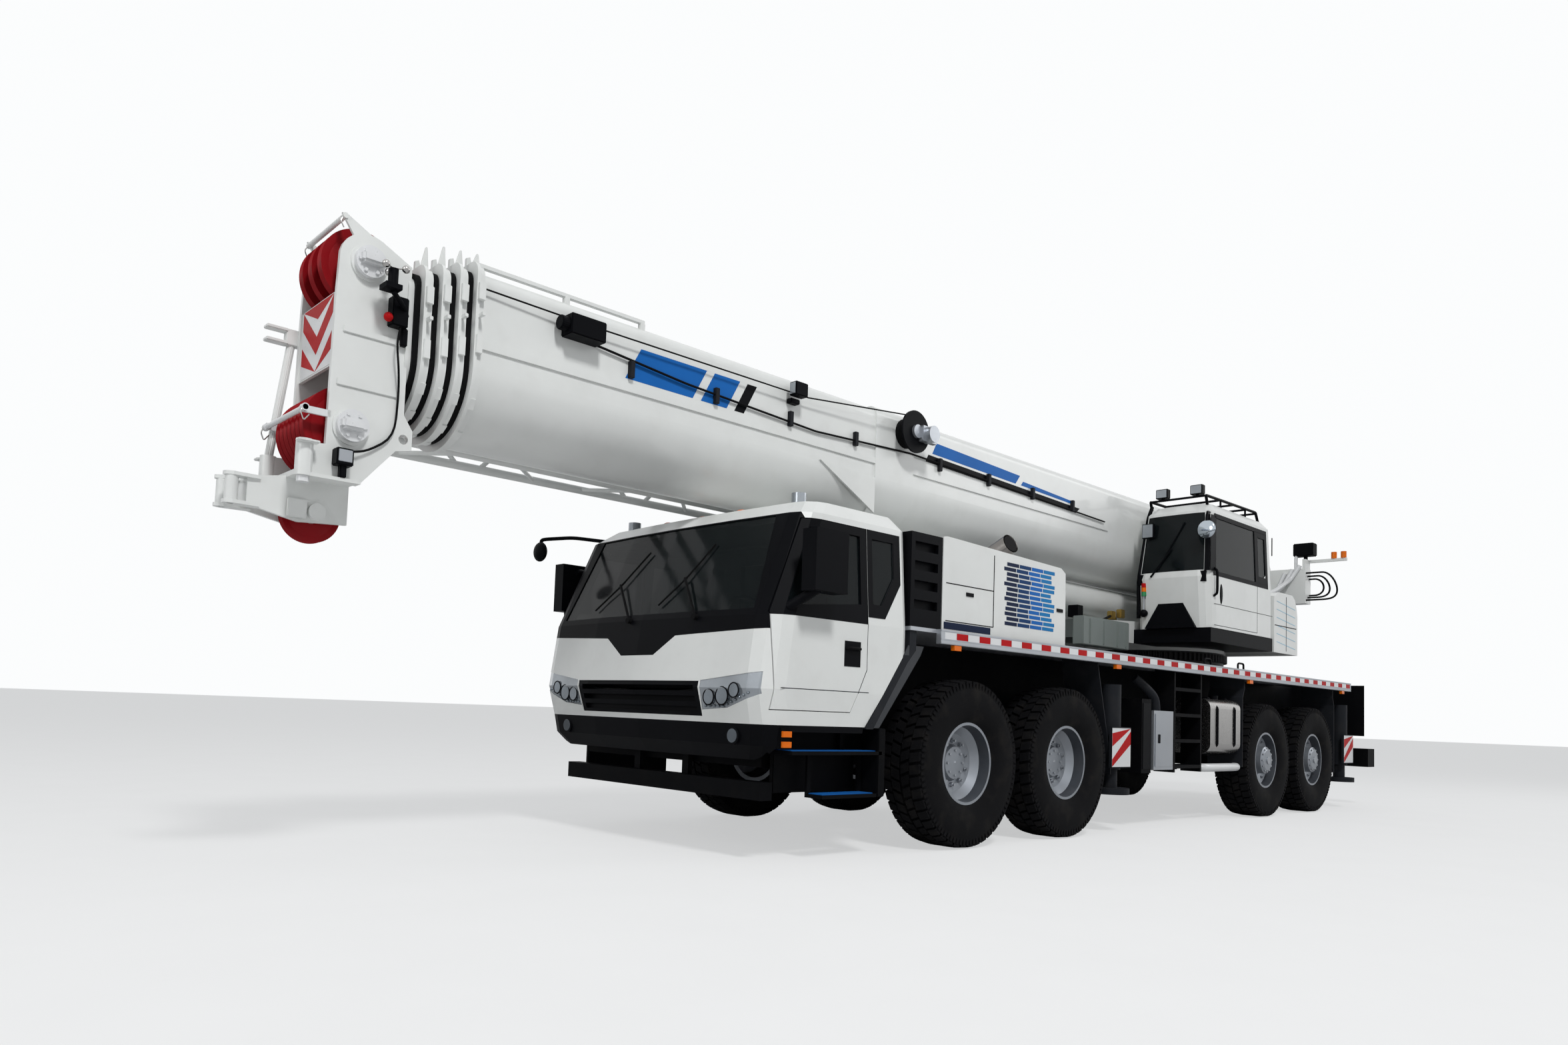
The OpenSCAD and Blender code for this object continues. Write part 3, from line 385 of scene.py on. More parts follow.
def tyre_mesh():
    """one tyre about its own centre, with its axle along y"""
    bm = bmesh.new()
    base = TREAD_R - 0.026
    half = [(BORE_R, 0.150), (0.362, 0.168), (0.40, 0.181), (0.47, TYRE_HALF), (0.545, TYRE_HALF - 0.001),
            (0.60, 0.186), (base - 0.012, 0.172), (base, 0.150)]
    prof = [(r, -w) for r, w in half] + half[::-1]
    n = 96
    rows = []
    for i in range(n):
        a = 2 * math.pi * i / n
        rows.append([bm.verts.new((r * math.cos(a), w, r * math.sin(a))) for r, w in prof])
    m = len(prof)
    for i in range(n):
        p, q = rows[i], rows[(i + 1) % n]
        for k in range(m):
            bm.faces.new((p[k], p[(k + 1) % m], q[(k + 1) % m], q[k]))

    def block(corners):
        vs = [bm.verts.new((r * math.cos(a), w, r * math.sin(a))) for r, a, w in corners]
        for f in CUBE_FACES:
            bm.faces.new([vs[j] for j in f])

    def lug(a0, a1, w0, w1, skew, foot):
        drop = {w: 0.012 if abs(w) > 0.15 else 0.0 for w in (w0, w1)}
        block([(r - drop[w], 2 * math.pi * a / LUGS, w) for r in (foot, TREAD_R)
               for a, w in ((a0, w0), (a1, w0), (a1 + skew, w1), (a0 + skew, w1))])

    for i in range(LUGS):
        for s in (-1, 1):
            o = 0.0 if s > 0 else 0.5
            lug(i + o + 0.10, i + o + 0.86, s * 0.094, s * 0.176, 0.16, base - 0.03)
            lug(i + o + 0.12, i + o + 0.88, s * 0.010, s * 0.084, 0.30, base - 0.01)
    for i in range(LUGS * 2):
        a0, a1 = (2 * math.pi * (i + share) / (2 * LUGS) for share in (0.2, 0.75))
        r0, r1 = base - 0.05, base - 0.004
        for s in (-1, 1):
            block([(r, a, w) for w in (s * 0.176, s * 0.1865)
                   for a, r in ((a0, r0), (a1, r0), (a1, r1), (a0, r1))])
    bmesh.ops.recalc_face_normals(bm, faces=bm.faces[:])
    me = bpy.data.meshes.new("tyre")
    bm.to_mesh(me)
    bm.free()
    me.materials.append(TYRE)
    for p in me.polygons:
        p.use_smooth = True
    me.set_sharp_from_angle(angle=math.radians(30))
    return me


# painted shade: the dished inside of the rims is given a darker colour than the rest of the rim
for i, axle_x in enumerate(AXLES):
    for side in ("left", "right"):
        hub = Vector((axle_x + SHIFT, 0.0, HUB_Z))
        faces(f"rim_{i + 1}_{side}", RIM_SHADE,
              lambda c, n, vs, hub=hub: abs(n.y) < 0.8 and n.dot(hub - c) > 0.05)


def bolt_ring(group, axle_x, sg, count, ring_r, y0, y1, r, seg=6, turn=0.0):
    """bars in a ring about a wheel's axle, from y0 to y1 outside the middle of the wheel"""
    for k in range(count):
        a = 2 * math.pi * (k + turn) / count
        x, z = axle_x + ring_r * math.cos(a), HUB_Z + ring_r * math.sin(a)
        group.rod((x, sg * (HALF_TRACK + y0), z), (x, sg * (HALF_TRACK + y1), z), r, seg=seg)


tyre_me = tyre_mesh()
for i, axle_x in enumerate(AXLES):
    for side, sg in SIDES:
        wheel = f"wheel_{i + 1}_{side}"
        tyre = put(f"tread_{i + 1}_{side}", tyre_me, TYRE, wheel)
        tyre.matrix_world = (Matrix.Translation((axle_x + SHIFT, sg * HALF_TRACK, HUB_Z))
                             @ Matrix.Rotation(math.radians(sg * 90 - 90), 4, "Z"))
        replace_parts(tyre, f"tyre_{i + 1}_{side}")
        g = Group(f"studs_{wheel}", SILVER, wheel, smooth=True)
        steered = i < 2
        ring_r, foot, tip = (0.178, -0.02, 0.035) if steered else (0.262, 0.015, 0.06)
        bolt_ring(g, axle_x, sg, 10, ring_r, foot, tip - 0.018, 0.019, turn=0.5)
        bolt_ring(g, axle_x, sg, 10, ring_r, foot, tip, 0.010, seg=12, turn=0.5)
        if steered:
            bolt_ring(g, axle_x, sg, 8, 0.1, 0.02, 0.041, 0.010)
        else:
            bolt_ring(g, axle_x, sg, 12, 0.138, 0.15, 0.172, 0.011)
            bolt_ring(g, axle_x, sg, 1, 0.0, 0.17, 0.188, 0.045, seg=32)
        g.done()

# reflective tape on the deck rails
tape = [Group("tape_white", SIGN_W, "carrier"), Group("tape_red", SIGN_R, "carrier")]
for sg in (1, -1):
    x = 0.42
    k = 0
    while x > -8.8:
        tape[k % 2].box((x - 0.15, x), around(sg * 1.4405, 0.0008), (1.648, 1.700))
        x -= 0.155
        k += 1
for g in tape:
    g.done()
lips = Group("rail_lips", RAIL, "carrier")
for sg in (1, -1):
    for z in (1.612, 1.640, 1.707):
        lips.box((-8.92, 0.47), around(sg * 1.441, 0.002), (z, z + 0.008))
lips.done()

# hazard boards on the outrigger beam ends
BOARD_HALF, BOARD_LOW, BOARD_HIGH = 0.18, 0.63, 1.0
for end, box_x in (("front", -2.620), ("rear", -9.060)):
    for side, sg in SIDES:
        x0, x1 = around(box_x + sg * 0.140, BOARD_HALF)
        body = f"outrigger_{end}_{side}"
        y = sg * 1.4105
        Group("board_back", SIGN_W, body).box((x0, x1), around(y, 0.001), (BOARD_LOW, BOARD_HIGH)).done()
        g = Group("board_red", SIGN_R, body)
        rise = 2 * BOARD_HALF * 0.75
        for k in range(3):
            o = k * 0.25 - 0.06
            lo, hi = 0.635 + o, 0.635 + o + 0.125
            quad = [(x1, lo), (x0, lo + rise), (x0, hi + rise), (x1, hi)]
            pts = [(a, min(BOARD_HIGH - 0.002, max(BOARD_LOW + 0.002, b))) for a, b in quad]
            g.plate(pts, y + sg * 0.0012, y + sg * 0.0020)
        g.done()


def front_x(y, z):
    """place of the cab's outer front skin at a height and a side distance"""
    levels = [(0.945, 2.215, 0.06), (1.185, 2.275, 0.08), (1.69, 2.205, 0.07), (2.44, 1.89, 0.06),
              (2.55, 1.74, 0.05)]
    for (z0, x0, b0), (z1, x1, b1) in zip(levels, levels[1:]):
        if z <= z1:
            t = (z - z0) / (z1 - z0)
            return x0 + (x1 - x0) * t + (b0 + (b1 - b0) * t) * (1 - (y / 1.38) ** 2)
    return levels[-1][1]


# headlamps, fog lamps, markers, wipers
lens = Group("lamp_lenses", LENS, "carrier", smooth=True)
ring = Group("lamp_rings", TRIM, "carrier", smooth=True)
mark = Group("markers", AMBER, "carrier")
wipe = Group("wipers", RUBBER, "carrier")
for sg in (1, -1):
    for y, z, r in ((0.84, 1.12, 0.055), (0.97, 1.13, 0.062), (1.09, 1.17, 0.05)):
        x = front_x(y, z)
        lens.rod((x - 0.03, sg * y, z), (x + 0.004, sg * y, z), r, seg=40)
        ring.tube([(x + 0.003, sg * (y + a), z + b) for a, b in circle(r)], 0.005, 8, False)
    for k in range(11):
        y = 0.79 + 0.042 * k
        z = 1.058 + (0.0 if k < 5 else 0.016 * (k - 4))
        lens.ball((front_x(y, z) - 0.004, sg * y, z), 0.011)
    ring.rod((2.12, sg * 1.02, 0.86), (2.235, sg * 1.02, 0.86), 0.062, seg=40)
    lens.rod((2.2, sg * 1.02, 0.86), (2.24, sg * 1.02, 0.86), 0.048, seg=40)
    mark.box((2.13, 2.205), around(sg * 1.20, 0.02), (1.20, 1.26))
    for z in (0.885, 0.815):
        mark.box((2.015, 2.095), around(sg * 1.362, 0.012), around(z, 0.02))
    for x in (0.25, -2.35, -5.5, -8.6):
        mark.box(around(x, 0.045), around(sg * 1.425, 0.018), (1.565, 1.604))
for y0, y1 in ((0.62, 0.10), (-0.15, -0.75)):
    foot, mid, knee = 1.69, (y0 + y1) / 2, 2.0
    x = front_x(y0, foot) + 0.012
    wipe.tube([(x, y0, foot), (front_x(mid, knee) + 0.03, mid, knee)], 0.010, 8)
    wipe.tube([(front_x(y1, 1.80) + 0.014, y1 + 0.05, 1.80), (front_x(mid, knee) + 0.016, mid, knee),
               (front_x(y0, 2.26) + 0.012, y0 - 0.08, 2.26)], 0.007, 8, False)
    wipe.rod((x - 0.03, y0, foot), (x + 0.02, y0, foot), 0.022)
for g in (lens, ring, mark, wipe):
    g.done()

# cab steps, front mudguard plates, boxes under the cab, fittings of the doors
tread = Group("step_treads", BLUE, "carrier")
for sg in (1, -1):
    tread.box((1.08, 1.98), around(sg * 1.24, 0.10), (0.7702, 0.776))
    tread.box((1.13, 1.67), around(sg * 1.28, 0.07), (0.4652, 0.471))
tread.done()
fender = Group("fender_panels", FENDER, "carrier", 0.003)
for sg in (1, -1):
    fender.plate([(0.836, 1.496), (1.254, 0.940), (1.110, 0.940), (0.640, 1.500), (0.600, 1.575),
                  (0.790, 1.575)], *around(sg * 1.374, 0.005))
fender.done()
under = Group("under_cab", BLACK, "carrier", 0.006)
for sg in (1, -1):
    under.box((1.02, 1.10), around(sg * 1.28, 0.09), (0.44, 0.94))
    under.box((2.005, 2.105), around(sg * 1.33, 0.025), (0.785, 0.935))
    under.box((1.10, 1.95), around(sg * 1.12, 0.02), (0.47, 0.94))
under.box((1.10, 1.98), (-1.06, 1.06), (0.64, 0.93))
under.done()
for side, sg in SIDES:
    leaf = f"door_{side}_leaf"
    pocket = Group("handle_pocket", TRIM, leaf, 0.004)
    pocket.box((1.34, 1.52), around(sg * 1.377, 0.006), (1.37, 1.56))
    pocket.done()
    handle = Group("handle", RUBBER, leaf, smooth=True)
    handle.tube([(1.36, sg * 1.384, 1.50), (1.37, sg * 1.406, 1.505), (1.49, sg * 1.406, 1.505),
                 (1.50, sg * 1.384, 1.50)], 0.011)
    handle.done()
    mirror = Group("mirror_glass", MIRROR, leaf)
    for x in ((1.742, 1.745), (1.738, 1.742)):
        mirror.box(x, around(sg * 1.525, 0.05), (1.88, 2.24))
    mirror.done()
    # painted shade: a dark strip along the crease of each door
    Group("door_crease_shade", GREY, leaf).box((1.24, 2.14), around(sg * 1.3795, 0.001), (1.192, 1.198)).done()
    arm = Group("mirror_arm", TRIM, leaf, smooth=True)
    arm.tube([(1.90, sg * 1.34, 2.20), (1.92, sg * 1.44, 2.22), (1.92, sg * 1.50, 2.16)], 0.018)
    arm.done()


def cab_side(z):
    """outer side of the driver's cab between the belt and the roof edge"""
    return 1.380 - 0.050 * (z - 1.69) / 0.75


# black surround of the quarter pane, a front mirror on an arm, roof lamps
pane_in = [(1.208, 1.842), (1.208, 2.328), (0.962, 2.328), (0.962, 2.06), (1.112, 1.842)]
pane_out = [(1.262, 1.745), (1.262, 2.395), (0.885, 2.395), (0.885, 2.02), (1.075, 1.745)]
quarter = Group("quarter_surround", TRIM, "carrier")
for sg in (1, -1):
    for i in range(5):
        j = (i + 1) % 5
        pts = (pane_in[i], pane_in[j], pane_out[j], pane_out[i])
        quarter.sheet([(x, sg * (cab_side(z) + 0.001), z) for x, z in pts], 0.002)
quarter.done()
front_mirror = Group("front_mirror", TRIM, "carrier", smooth=True)
front_mirror.tube([(1.82, -1.18, 2.47), (2.05, -1.35, 2.49), (2.30, -1.45, 2.45), (2.31, -1.45, 2.40)],
                  0.016)
front_mirror.ball((2.31, -1.45, 2.34), 0.085, (0.55, 1.0, 1.0))
front_mirror.done()
roof = Group("roof_lamps", AMBER, "carrier", smooth=True)
for y in (-0.45, 0.0, 0.45):
    roof.ball((1.70, y, 2.553), 0.035, (1.2, 1.5, 0.7))
roof.done()

# engine cover: panel joints, lift handles and a plain field of blue bars
seams = Group("hood_seams", TRIM, "carrier")
for sg in (1, -1):
    y = sg * 1.3805
    seams.box((-0.325, -0.315), around(y, 0.001), (1.80, 2.40))
    for z in (1.80, 2.10):
        seams.box((-0.32, 0.34), around(y, 0.001), around(z, 0.004))
    for x in (0.02, -1.36):
        seams.box(around(x, 0.05), around(y, 0.006), (2.02, 2.05))
seams.done()
band = Group("hood_band", NAVY, "carrier")
tones = [Group(f"hood_tone_{k}", m, "carrier") for k, m in enumerate((NAVY, DEEP, BLUE, SKY))]
for sg in (1, -1):
    y = sg * 1.381
    band.box((-0.28, 0.36), around(y, 0.0012), (1.735, 1.79))
    for row in range(13):
        z = 1.835 + 0.042 * row
        left = -0.46 - 0.05 * abs(math.sin(1.1 * row + 0.5))
        right = -1.18 - 0.10 * abs(math.sin(0.8 * row + 1.0))
        for part in range(4):
            x0 = left + (right - left) * part / 4 - 0.006
            x1 = left + (right - left) * (part + 1) / 4 + 0.006
            tones[part].box((x1, x0), around(y, 0.0012), (z, z + 0.030))
for g in (band, *tones):
    g.done()

# exhaust: the end of the engine node's pipe cut on a slant, with painted shade: the cut face and the bore
# inside the mouth are black
low = Vector((-0.540 + SHIFT, 1.190, 2.430))
run = Vector((-0.160, 0.160, 0.165))
mouth = Vector((0.0, 0.898, 0.440))
pipe = bmesh.new()
pipe.from_mesh(nodes["engine"].data)
cut = bmesh.ops.bisect_plane(pipe, geom=pipe.verts[:] + pipe.edges[:] + pipe.faces[:],
                             plane_co=low + run - 0.052 * mouth, plane_no=mouth, clear_outer=True)
bmesh.ops.triangle_fill(pipe, use_beauty=True, normal=mouth,
                        edges=[e for e in cut["geom_cut"] if isinstance(e, bmesh.types.BMEdge)])
pipe_me = bpy.data.meshes.new("engine_pipe")
pipe.to_mesh(pipe_me)
pipe.free()
for m in (PIPE, RUBBER):
    pipe_me.materials.append(m)
axis = run.normalized()
# painted shade: faces inside the mouth take the black second material
for p in pipe_me.polygons:
    d = p.center - low
    along = d.dot(axis)
    p.material_index = int(along > 0.135 and (d - along * axis).length < 0.0745)
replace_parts(put("engine_pipe", pipe_me, PIPE, "carrier"), "engine")

# tank straps and caps, box doors and locks, a thick hose and a pipe along the steps
strap = Group("tank_straps", TRIM, "carrier", smooth=True)
fill = Group("tank_caps", TRIM, "carrier", smooth=True)
TANK_Y, TANK_Z = 1.16, 1.055
for sg in (1, -1):
    for x in (-5.15, -4.69):
        pts = [(0.235, 0.0), (0.235, 0.20), (0.13, 0.31), (-0.13, 0.31), (-0.235, 0.20), (-0.235, -0.20),
               (-0.13, -0.31), (0.13, -0.31), (0.235, -0.20), (0.235, 0.0)]
        loop = [(x, sg * (TANK_Y + a), TANK_Z + b) for a, b in pts]
        for p, q in zip(loop, loop[1:]):
            strap.tube([p, q], 0.014, 8)
    fill.rod((-4.92, sg * 1.25, 1.36), (-4.92, sg * 1.25, 1.40), 0.05)
strap.done()
fill.done()
lid = Group("box_doors", SILVER, "carrier", 0.006)
lock = Group("box_locks", TRIM, "carrier", 0.003)
for sg in (1, -1):
    lid.box((-3.59, -3.20), around(sg * 1.395, 0.008), (0.62, 1.16))
    lock.box((-3.30, -3.26), around(sg * 1.404, 0.006), (0.86, 0.95))
    lock.box((-3.13, -2.97), around(sg * 1.380, 0.005), (0.60, 1.26))
lid.done()
lock.done()
duct = Group("box_hose", GREY, "carrier", smooth=True)
for sg in (1, -1):
    duct.tube([(-3.42, sg * 1.30, 1.16), (-3.40, sg * 1.30, 1.32), (-3.24, sg * 1.28, 1.42),
               (-3.10, sg * 1.22, 1.52)], 0.045, 14, 0.45)
duct.done()
pipe = Group("step_pipe", SIGN_W, "carrier", smooth=True)
for sg in (1, -1):
    pipe.tube([(-4.42, sg * 1.30, 0.60), (-4.45, sg * 1.36, 0.60), (-5.30, sg * 1.36, 0.60),
               (-5.36, sg * 1.30, 0.60)], 0.045, 16)
pipe.done()

# deck: joints, hatches with handles, grab hoops at the edge
JOINT_Z = (DECK_TOP + 0.0001, DECK_TOP + 0.0008)
joint = Group("deck_joints", GREY, "carrier")
for x in (-2.05, -3.10, -4.15, -7.60, -8.30):
    joint.box(around(x, 0.004), (-1.39, 1.39), JOINT_Z)
for y in (-0.55, 0.55):
    joint.box((-4.15, -1.50), around(y, 0.004), JOINT_Z)
    joint.box((-8.90, -7.60), around(y, 0.004), JOINT_Z)
joint.done()
hatch = Group("deck_hatches", PLATE, "carrier", 0.002)
grip = Group("deck_grips", TRIM, "carrier", smooth=True)
for sg in (1, -1):
    y = sg * 0.97
    for x in (-2.58, -3.62, -7.95, -8.62):
        hatch.box(around(x, 0.24), around(y, 0.30), (DECK_TOP - 0.001, DECK_TOP + 0.0035))
        grip.tube([(x - 0.06, y, 1.722), (x - 0.06, y, 1.745), (x + 0.06, y, 1.745), (x + 0.06, y, 1.722)],
                  0.006, 8)
    for x in (-4.52, -5.42):
        grip.tube([(x, sg * 1.32, 1.715), (x, sg * 1.32, 1.80), (x - 0.16, sg * 1.32, 1.80),
                   (x - 0.16, sg * 1.32, 1.715)], 0.011, 10)
hatch.done()
grip.done()


def op_side(z):
    """outer side of the operator's cab at a height"""
    return 1.380 - 0.030 * max(0.0, z - 2.72) / 0.76


def op_front(y, z):
    """front of the operator's cab at a side distance and a height"""
    x = -4.56 + 0.06 * (z - 2.15) / 0.57 if z < 2.72 else -4.50 - 0.08 * (z - 2.72) / 0.76
    return x + 0.025 * (1 - ((y - 0.9475) / 0.4325) ** 2)


# operator's cab: rack, black window surround, handles, mirror, lamps, signals
rack = Group("rack", TRIM, "upper", smooth=True)
for y in (0.62, 1.26):
    rack.tube([(-4.70, y, 3.56), (-4.66, y, 3.66), (-6.06, y, 3.68), (-6.14, y, 3.56)], 0.016, 10)
for x in (-4.70, -5.05, -5.40, -5.75, -6.06):
    rack.tube([(x, 0.62, 3.665), (x, 1.26, 3.665)], 0.013, 10)
for x in (-5.05, -5.75):
    for y in (0.62, 1.26):
        rack.tube([(x, y, 3.54), (x, y, 3.665)], 0.012, 8)
rack.done()
surround = Group("operator_surround", TRIM, "upper")
strips = [(-6.14, -4.60, 2.735, 2.785), (-6.14, -4.67, 3.395, 3.445), (-5.865, -5.775, 2.78, 3.40),
          (-6.14, -6.075, 2.78, 3.40), (-6.08, -5.86, 3.335, 3.40), (-6.08, -5.86, 2.78, 2.862)]
frames = [[(x0, z0), (x1, z0), (x1, z1), (x0, z1)] for x0, x1, z0, z1 in strips]
frames.append([(-4.655, 2.78), (-4.513, 2.78), (-4.580, 3.42), (-4.715, 3.42)])
for pts in frames:
    surround.sheet([(x, op_side(z) + 0.001, z) for x, z in pts], 0.002)
pillar = ((1.318, 2.78), (1.376, 2.78), (1.350, 3.42), (1.300, 3.42))
surround.sheet([(op_front(y, z) + 0.002, y, z) for y, z in pillar], 0.002)
surround.box((-4.58, -4.50), (0.56, 1.33), (2.66, 2.78))
surround.plate([(0.64, 2.15), (1.22, 2.15), (1.08, 2.43), (0.80, 2.43)], -4.60, -4.502, "x")
surround.done()
SEAM_Y = (1.3797, 1.3812)
crease = Group("operator_seams", GREY, "upper")
crease.box((-6.28, -4.62), SEAM_Y, (2.415, 2.421))
crease.box((-5.823, -5.817), SEAM_Y, (2.18, 2.735))
crease.box((-5.82, -4.62), SEAM_Y, (2.178, 2.184))
crease.done()
hand = Group("operator_handles", TRIM, "upper", smooth=True)
hand.ball((-4.80, 1.380, 2.54), 0.115, (0.34, 0.06, 1.0))
hand.tube([(-4.63, 1.36, 2.50), (-4.60, 1.42, 2.53), (-4.60, 1.42, 2.78), (-4.63, 1.37, 2.82)], 0.014)
hand.tube([(op_front(0.72, 2.74) + 0.012, 0.72, 2.74), (op_front(0.95, 3.05) + 0.016, 0.95, 3.05)], 0.011)
hand.tube([(op_front(0.80, 2.82) + 0.010, 0.80, 2.82), (op_front(1.08, 3.35) + 0.010, 1.08, 3.35)], 0.008)
hand.tube([(-4.62, 1.32, 3.45), (-4.42, 1.38, 3.42), (-4.40, 1.38, 3.30)], 0.013)
hand.tube([(-4.55, 0.545, 2.28), (-4.53, 0.55, 2.72), (-4.62, 0.615, 3.46), (-4.70, 0.62, 3.60)], 0.022, 12)
hand.ball((-4.50, 0.63, 2.33), 0.045)
hand.box((-4.56, -4.50), (0.615, 0.645), (2.50, 2.53))
hand.done()
Group("operator_mirror", MIRROR, "upper", smooth=True).ball((-4.40, 1.38, 3.22), 0.10, (0.3, 1, 1)).done()
lamp_case = Group("work_lamps", TRIM, "upper", 0.006)
lamp_lens = Group("work_lenses", LAMP, "upper", 0.002)
for y in (0.74, 1.14):
    lamp_case.box((-4.76, -4.68), around(y, 0.07), (3.69, 3.80))
    lamp_lens.box((-4.682, -4.672), around(y, 0.06), (3.70, 3.79))
    lamp_case.box((-4.74, -4.70), around(y, 0.015), (3.66, 3.70))
lamp_case.box((-4.53, -4.49), (0.60, 0.74), (3.20, 3.37))
lamp_lens.box((-4.492, -4.482), (0.61, 0.73), (3.21, 3.36))
lamp_case.done()
lamp_lens.done()
STACK_X, STACK_Y = -4.50, 0.63


def stack_part(name, m, low, high, r):
    g = Group(name, m, "upper", smooth=True)
    g.rod((STACK_X, STACK_Y, low), (STACK_X, STACK_Y, high), r)
    g.done()


for k, m in enumerate((GREEN, AMBER, SIGN_R)):
    low = 2.53 + 0.05 * k
    stack_part("stack_light", m, low, low + 0.048, 0.028)
stack_part("stack_stalk", SILVER, 2.34, 2.53, 0.010)

# upper works: cover seams, winch rope, valves, boxes, pipes
cover = Group("cover_seams", TRIM, "upper")
cover.box((-6.73, -6.72), (1.3805, 1.3822), (2.02, 2.70))
cover.box((-7.06, -6.36), (1.3805, 1.3822), (2.32, 2.33))
cover.done()
right = Group("right_cover_seams", GREY, "upper")
for x in (-5.25, -5.95, -6.65):
    right.box(around(x, 0.004), (-1.3812, -1.3797), (2.02, 2.44))
right.box((-7.07, -4.63), (-1.3812, -1.3797), (2.436, 2.444))
for x in (-5.60, -6.30):
    for k in range(6):
        right.box(around(x, 0.20), (-1.386, -1.3797), (2.12 + 0.045 * k, 2.14 + 0.045 * k))
right.done()
rope = Group("winch_rope", GEAR, "upper", smooth=True)
turns, steps = 27, 24
DRUM_X, DRUM_Z, DRUM_HALF, WRAP_R = -8.35, 2.83, 0.342, 0.183
wraps = []
for i in range(turns * steps + 1):
    a = 2 * math.pi * i / steps
    wraps.append((DRUM_X + WRAP_R * math.cos(a), -DRUM_HALF + 2 * DRUM_HALF * i / (turns * steps),
                  DRUM_Z + WRAP_R * math.sin(a)))
rope.tube(wraps, 0.0122, 8, False)
rope.done()
lines = Group("cover_lines", PALE, "upper")
for k in range(6):
    z = 2.06 + 0.10 * k
    lines.plate([(-7.02, z), (-6.42, z + 0.06), (-6.42, z + 0.068), (-7.02, z + 0.008)], 1.3804, 1.3818)
lines.done()
valves = Group("upper_valves", BRASS, "upper", 0.006)
for x, y, z in ((-4.40, 0.30, 2.24), (-4.30, 0.34, 2.30), (-4.44, 0.38, 2.33)):
    valves.box(around(x, 0.05), around(y, 0.03), around(z, 0.05))
valves.done()
upper_boxes = Group("upper_boxes", TRIM, "upper", 0.008)
upper_boxes.box((-3.46, -3.34), (0.33, 0.45), (2.20, 2.33))
upper_boxes.box((-3.42, -3.38), (0.37, 0.41), (2.10, 2.21))
upper_boxes.tube([(-4.30, 0.34, 2.30), (-4.05, 0.40, 2.24), (-3.86, 0.42, 2.19)], 0.016)
upper_boxes.tube([(-4.40, 0.30, 2.22), (-4.20, 0.42, 2.20), (-4.05, 0.44, 2.12)], 0.016)
upper_boxes.done()
# a grey-green case at the turntable's front
case = Group("front_case", GREY_GREEN, "upper", 0.008)
case.box((-4.18, -3.16), (0.492, 0.62), (1.88, 2.19))
for x in (-3.30, -3.60, -3.90, -4.10):
    case.box(around(x, 0.012), (0.61, 0.634), (1.90, 2.17))
case.done()
tail = Group("tail_pipes", SIGN_W, "upper", smooth=True)
for k, y in enumerate((0.62, 0.72, 0.82)):
    tail.tube([(-7.05, y, 2.62 + 0.06 * k), (-7.9, y, 2.78 + 0.08 * k), (-8.45, y, 2.95 + 0.10 * k),
               (-8.48, y + 0.12, 3.25 + 0.05 * k)], 0.028, 12)
tail.tube([(-8.55, 0.86, 2.85), (-8.55, 0.86, 3.52), (-8.55, 1.02, 3.54)], 0.022, 12)
tail.done()

# three hydraulic hoses that leave the tail plate and hang back to it in loops of their own
for k, (r, out, sag) in enumerate(((0.190, 1.20, 0.07), (0.150, 1.13, 0.04), (0.115, 1.07, 0.01))):
    x, mid = -8.53 - 0.06 * k, 3.055
    bow = [(out + r * math.cos(a), mid - sag * math.cos(a) ** 2 + r * math.sin(a))
           for a in (math.pi / 2 - math.pi * i / 26 for i in range(27))]
    loop = [(0.995, mid + r), (1.03, mid + r), *bow, (1.03, mid - r), (0.995, mid - r)]
    route = [(x, y, z) for y, z in loop]
    hose = Group(f"tail_hose_{k + 1}", RUBBER, "upper", smooth=True).tube(route, 0.012, 12, False).done()
    path = [(x + SHIFT, y, z) for x, y, z in route]

# monitor box, beacons and antenna at the tail
monitor = Group("monitor_box", BLACK, "upper", 0.01)
monitor.box((-8.68, -8.52), (0.83, 1.09), (3.49, 3.67))
monitor.box((-8.66, -8.60), (0.94, 0.98), (3.42, 3.50))
monitor.done()
beacons = Group("beacons", AMBER, "upper", smooth=True)
for y in (1.31, 1.43):
    beacons.rod((-8.66, y, 3.44), (-8.66, y, 3.53), 0.035)
beacons.done()
antenna = Group("antenna", RUBBER, "upper", smooth=True)
antenna.tube([(-8.62, 0.515, 3.54), (-8.62, 0.515, 3.80)], 0.007)
antenna.done()


def boom_outline(k, grow):
    """outline of boom section k + 1 in (y, z), grown by a distance"""
    w, h, c = 0.86 - 0.06 * k + 2 * grow, 1.06 - 0.06 * k + 2 * grow, 0.09
    r = w / 2
    pts = [(r * math.cos(a), BOOM_Z - h / 2 + r + r * math.sin(a)) for a in
           (math.radians(180 + 180 * i / 40) for i in range(41))]
    for sg, a0 in ((1, 0), (-1, 90)):
        for i in range(7):
            a = math.radians(a0 + 15 * i)
            pts.append((sg * (r - c) + c * math.cos(a), BOOM_Z + h / 2 - c + c * math.sin(a)))
    return pts
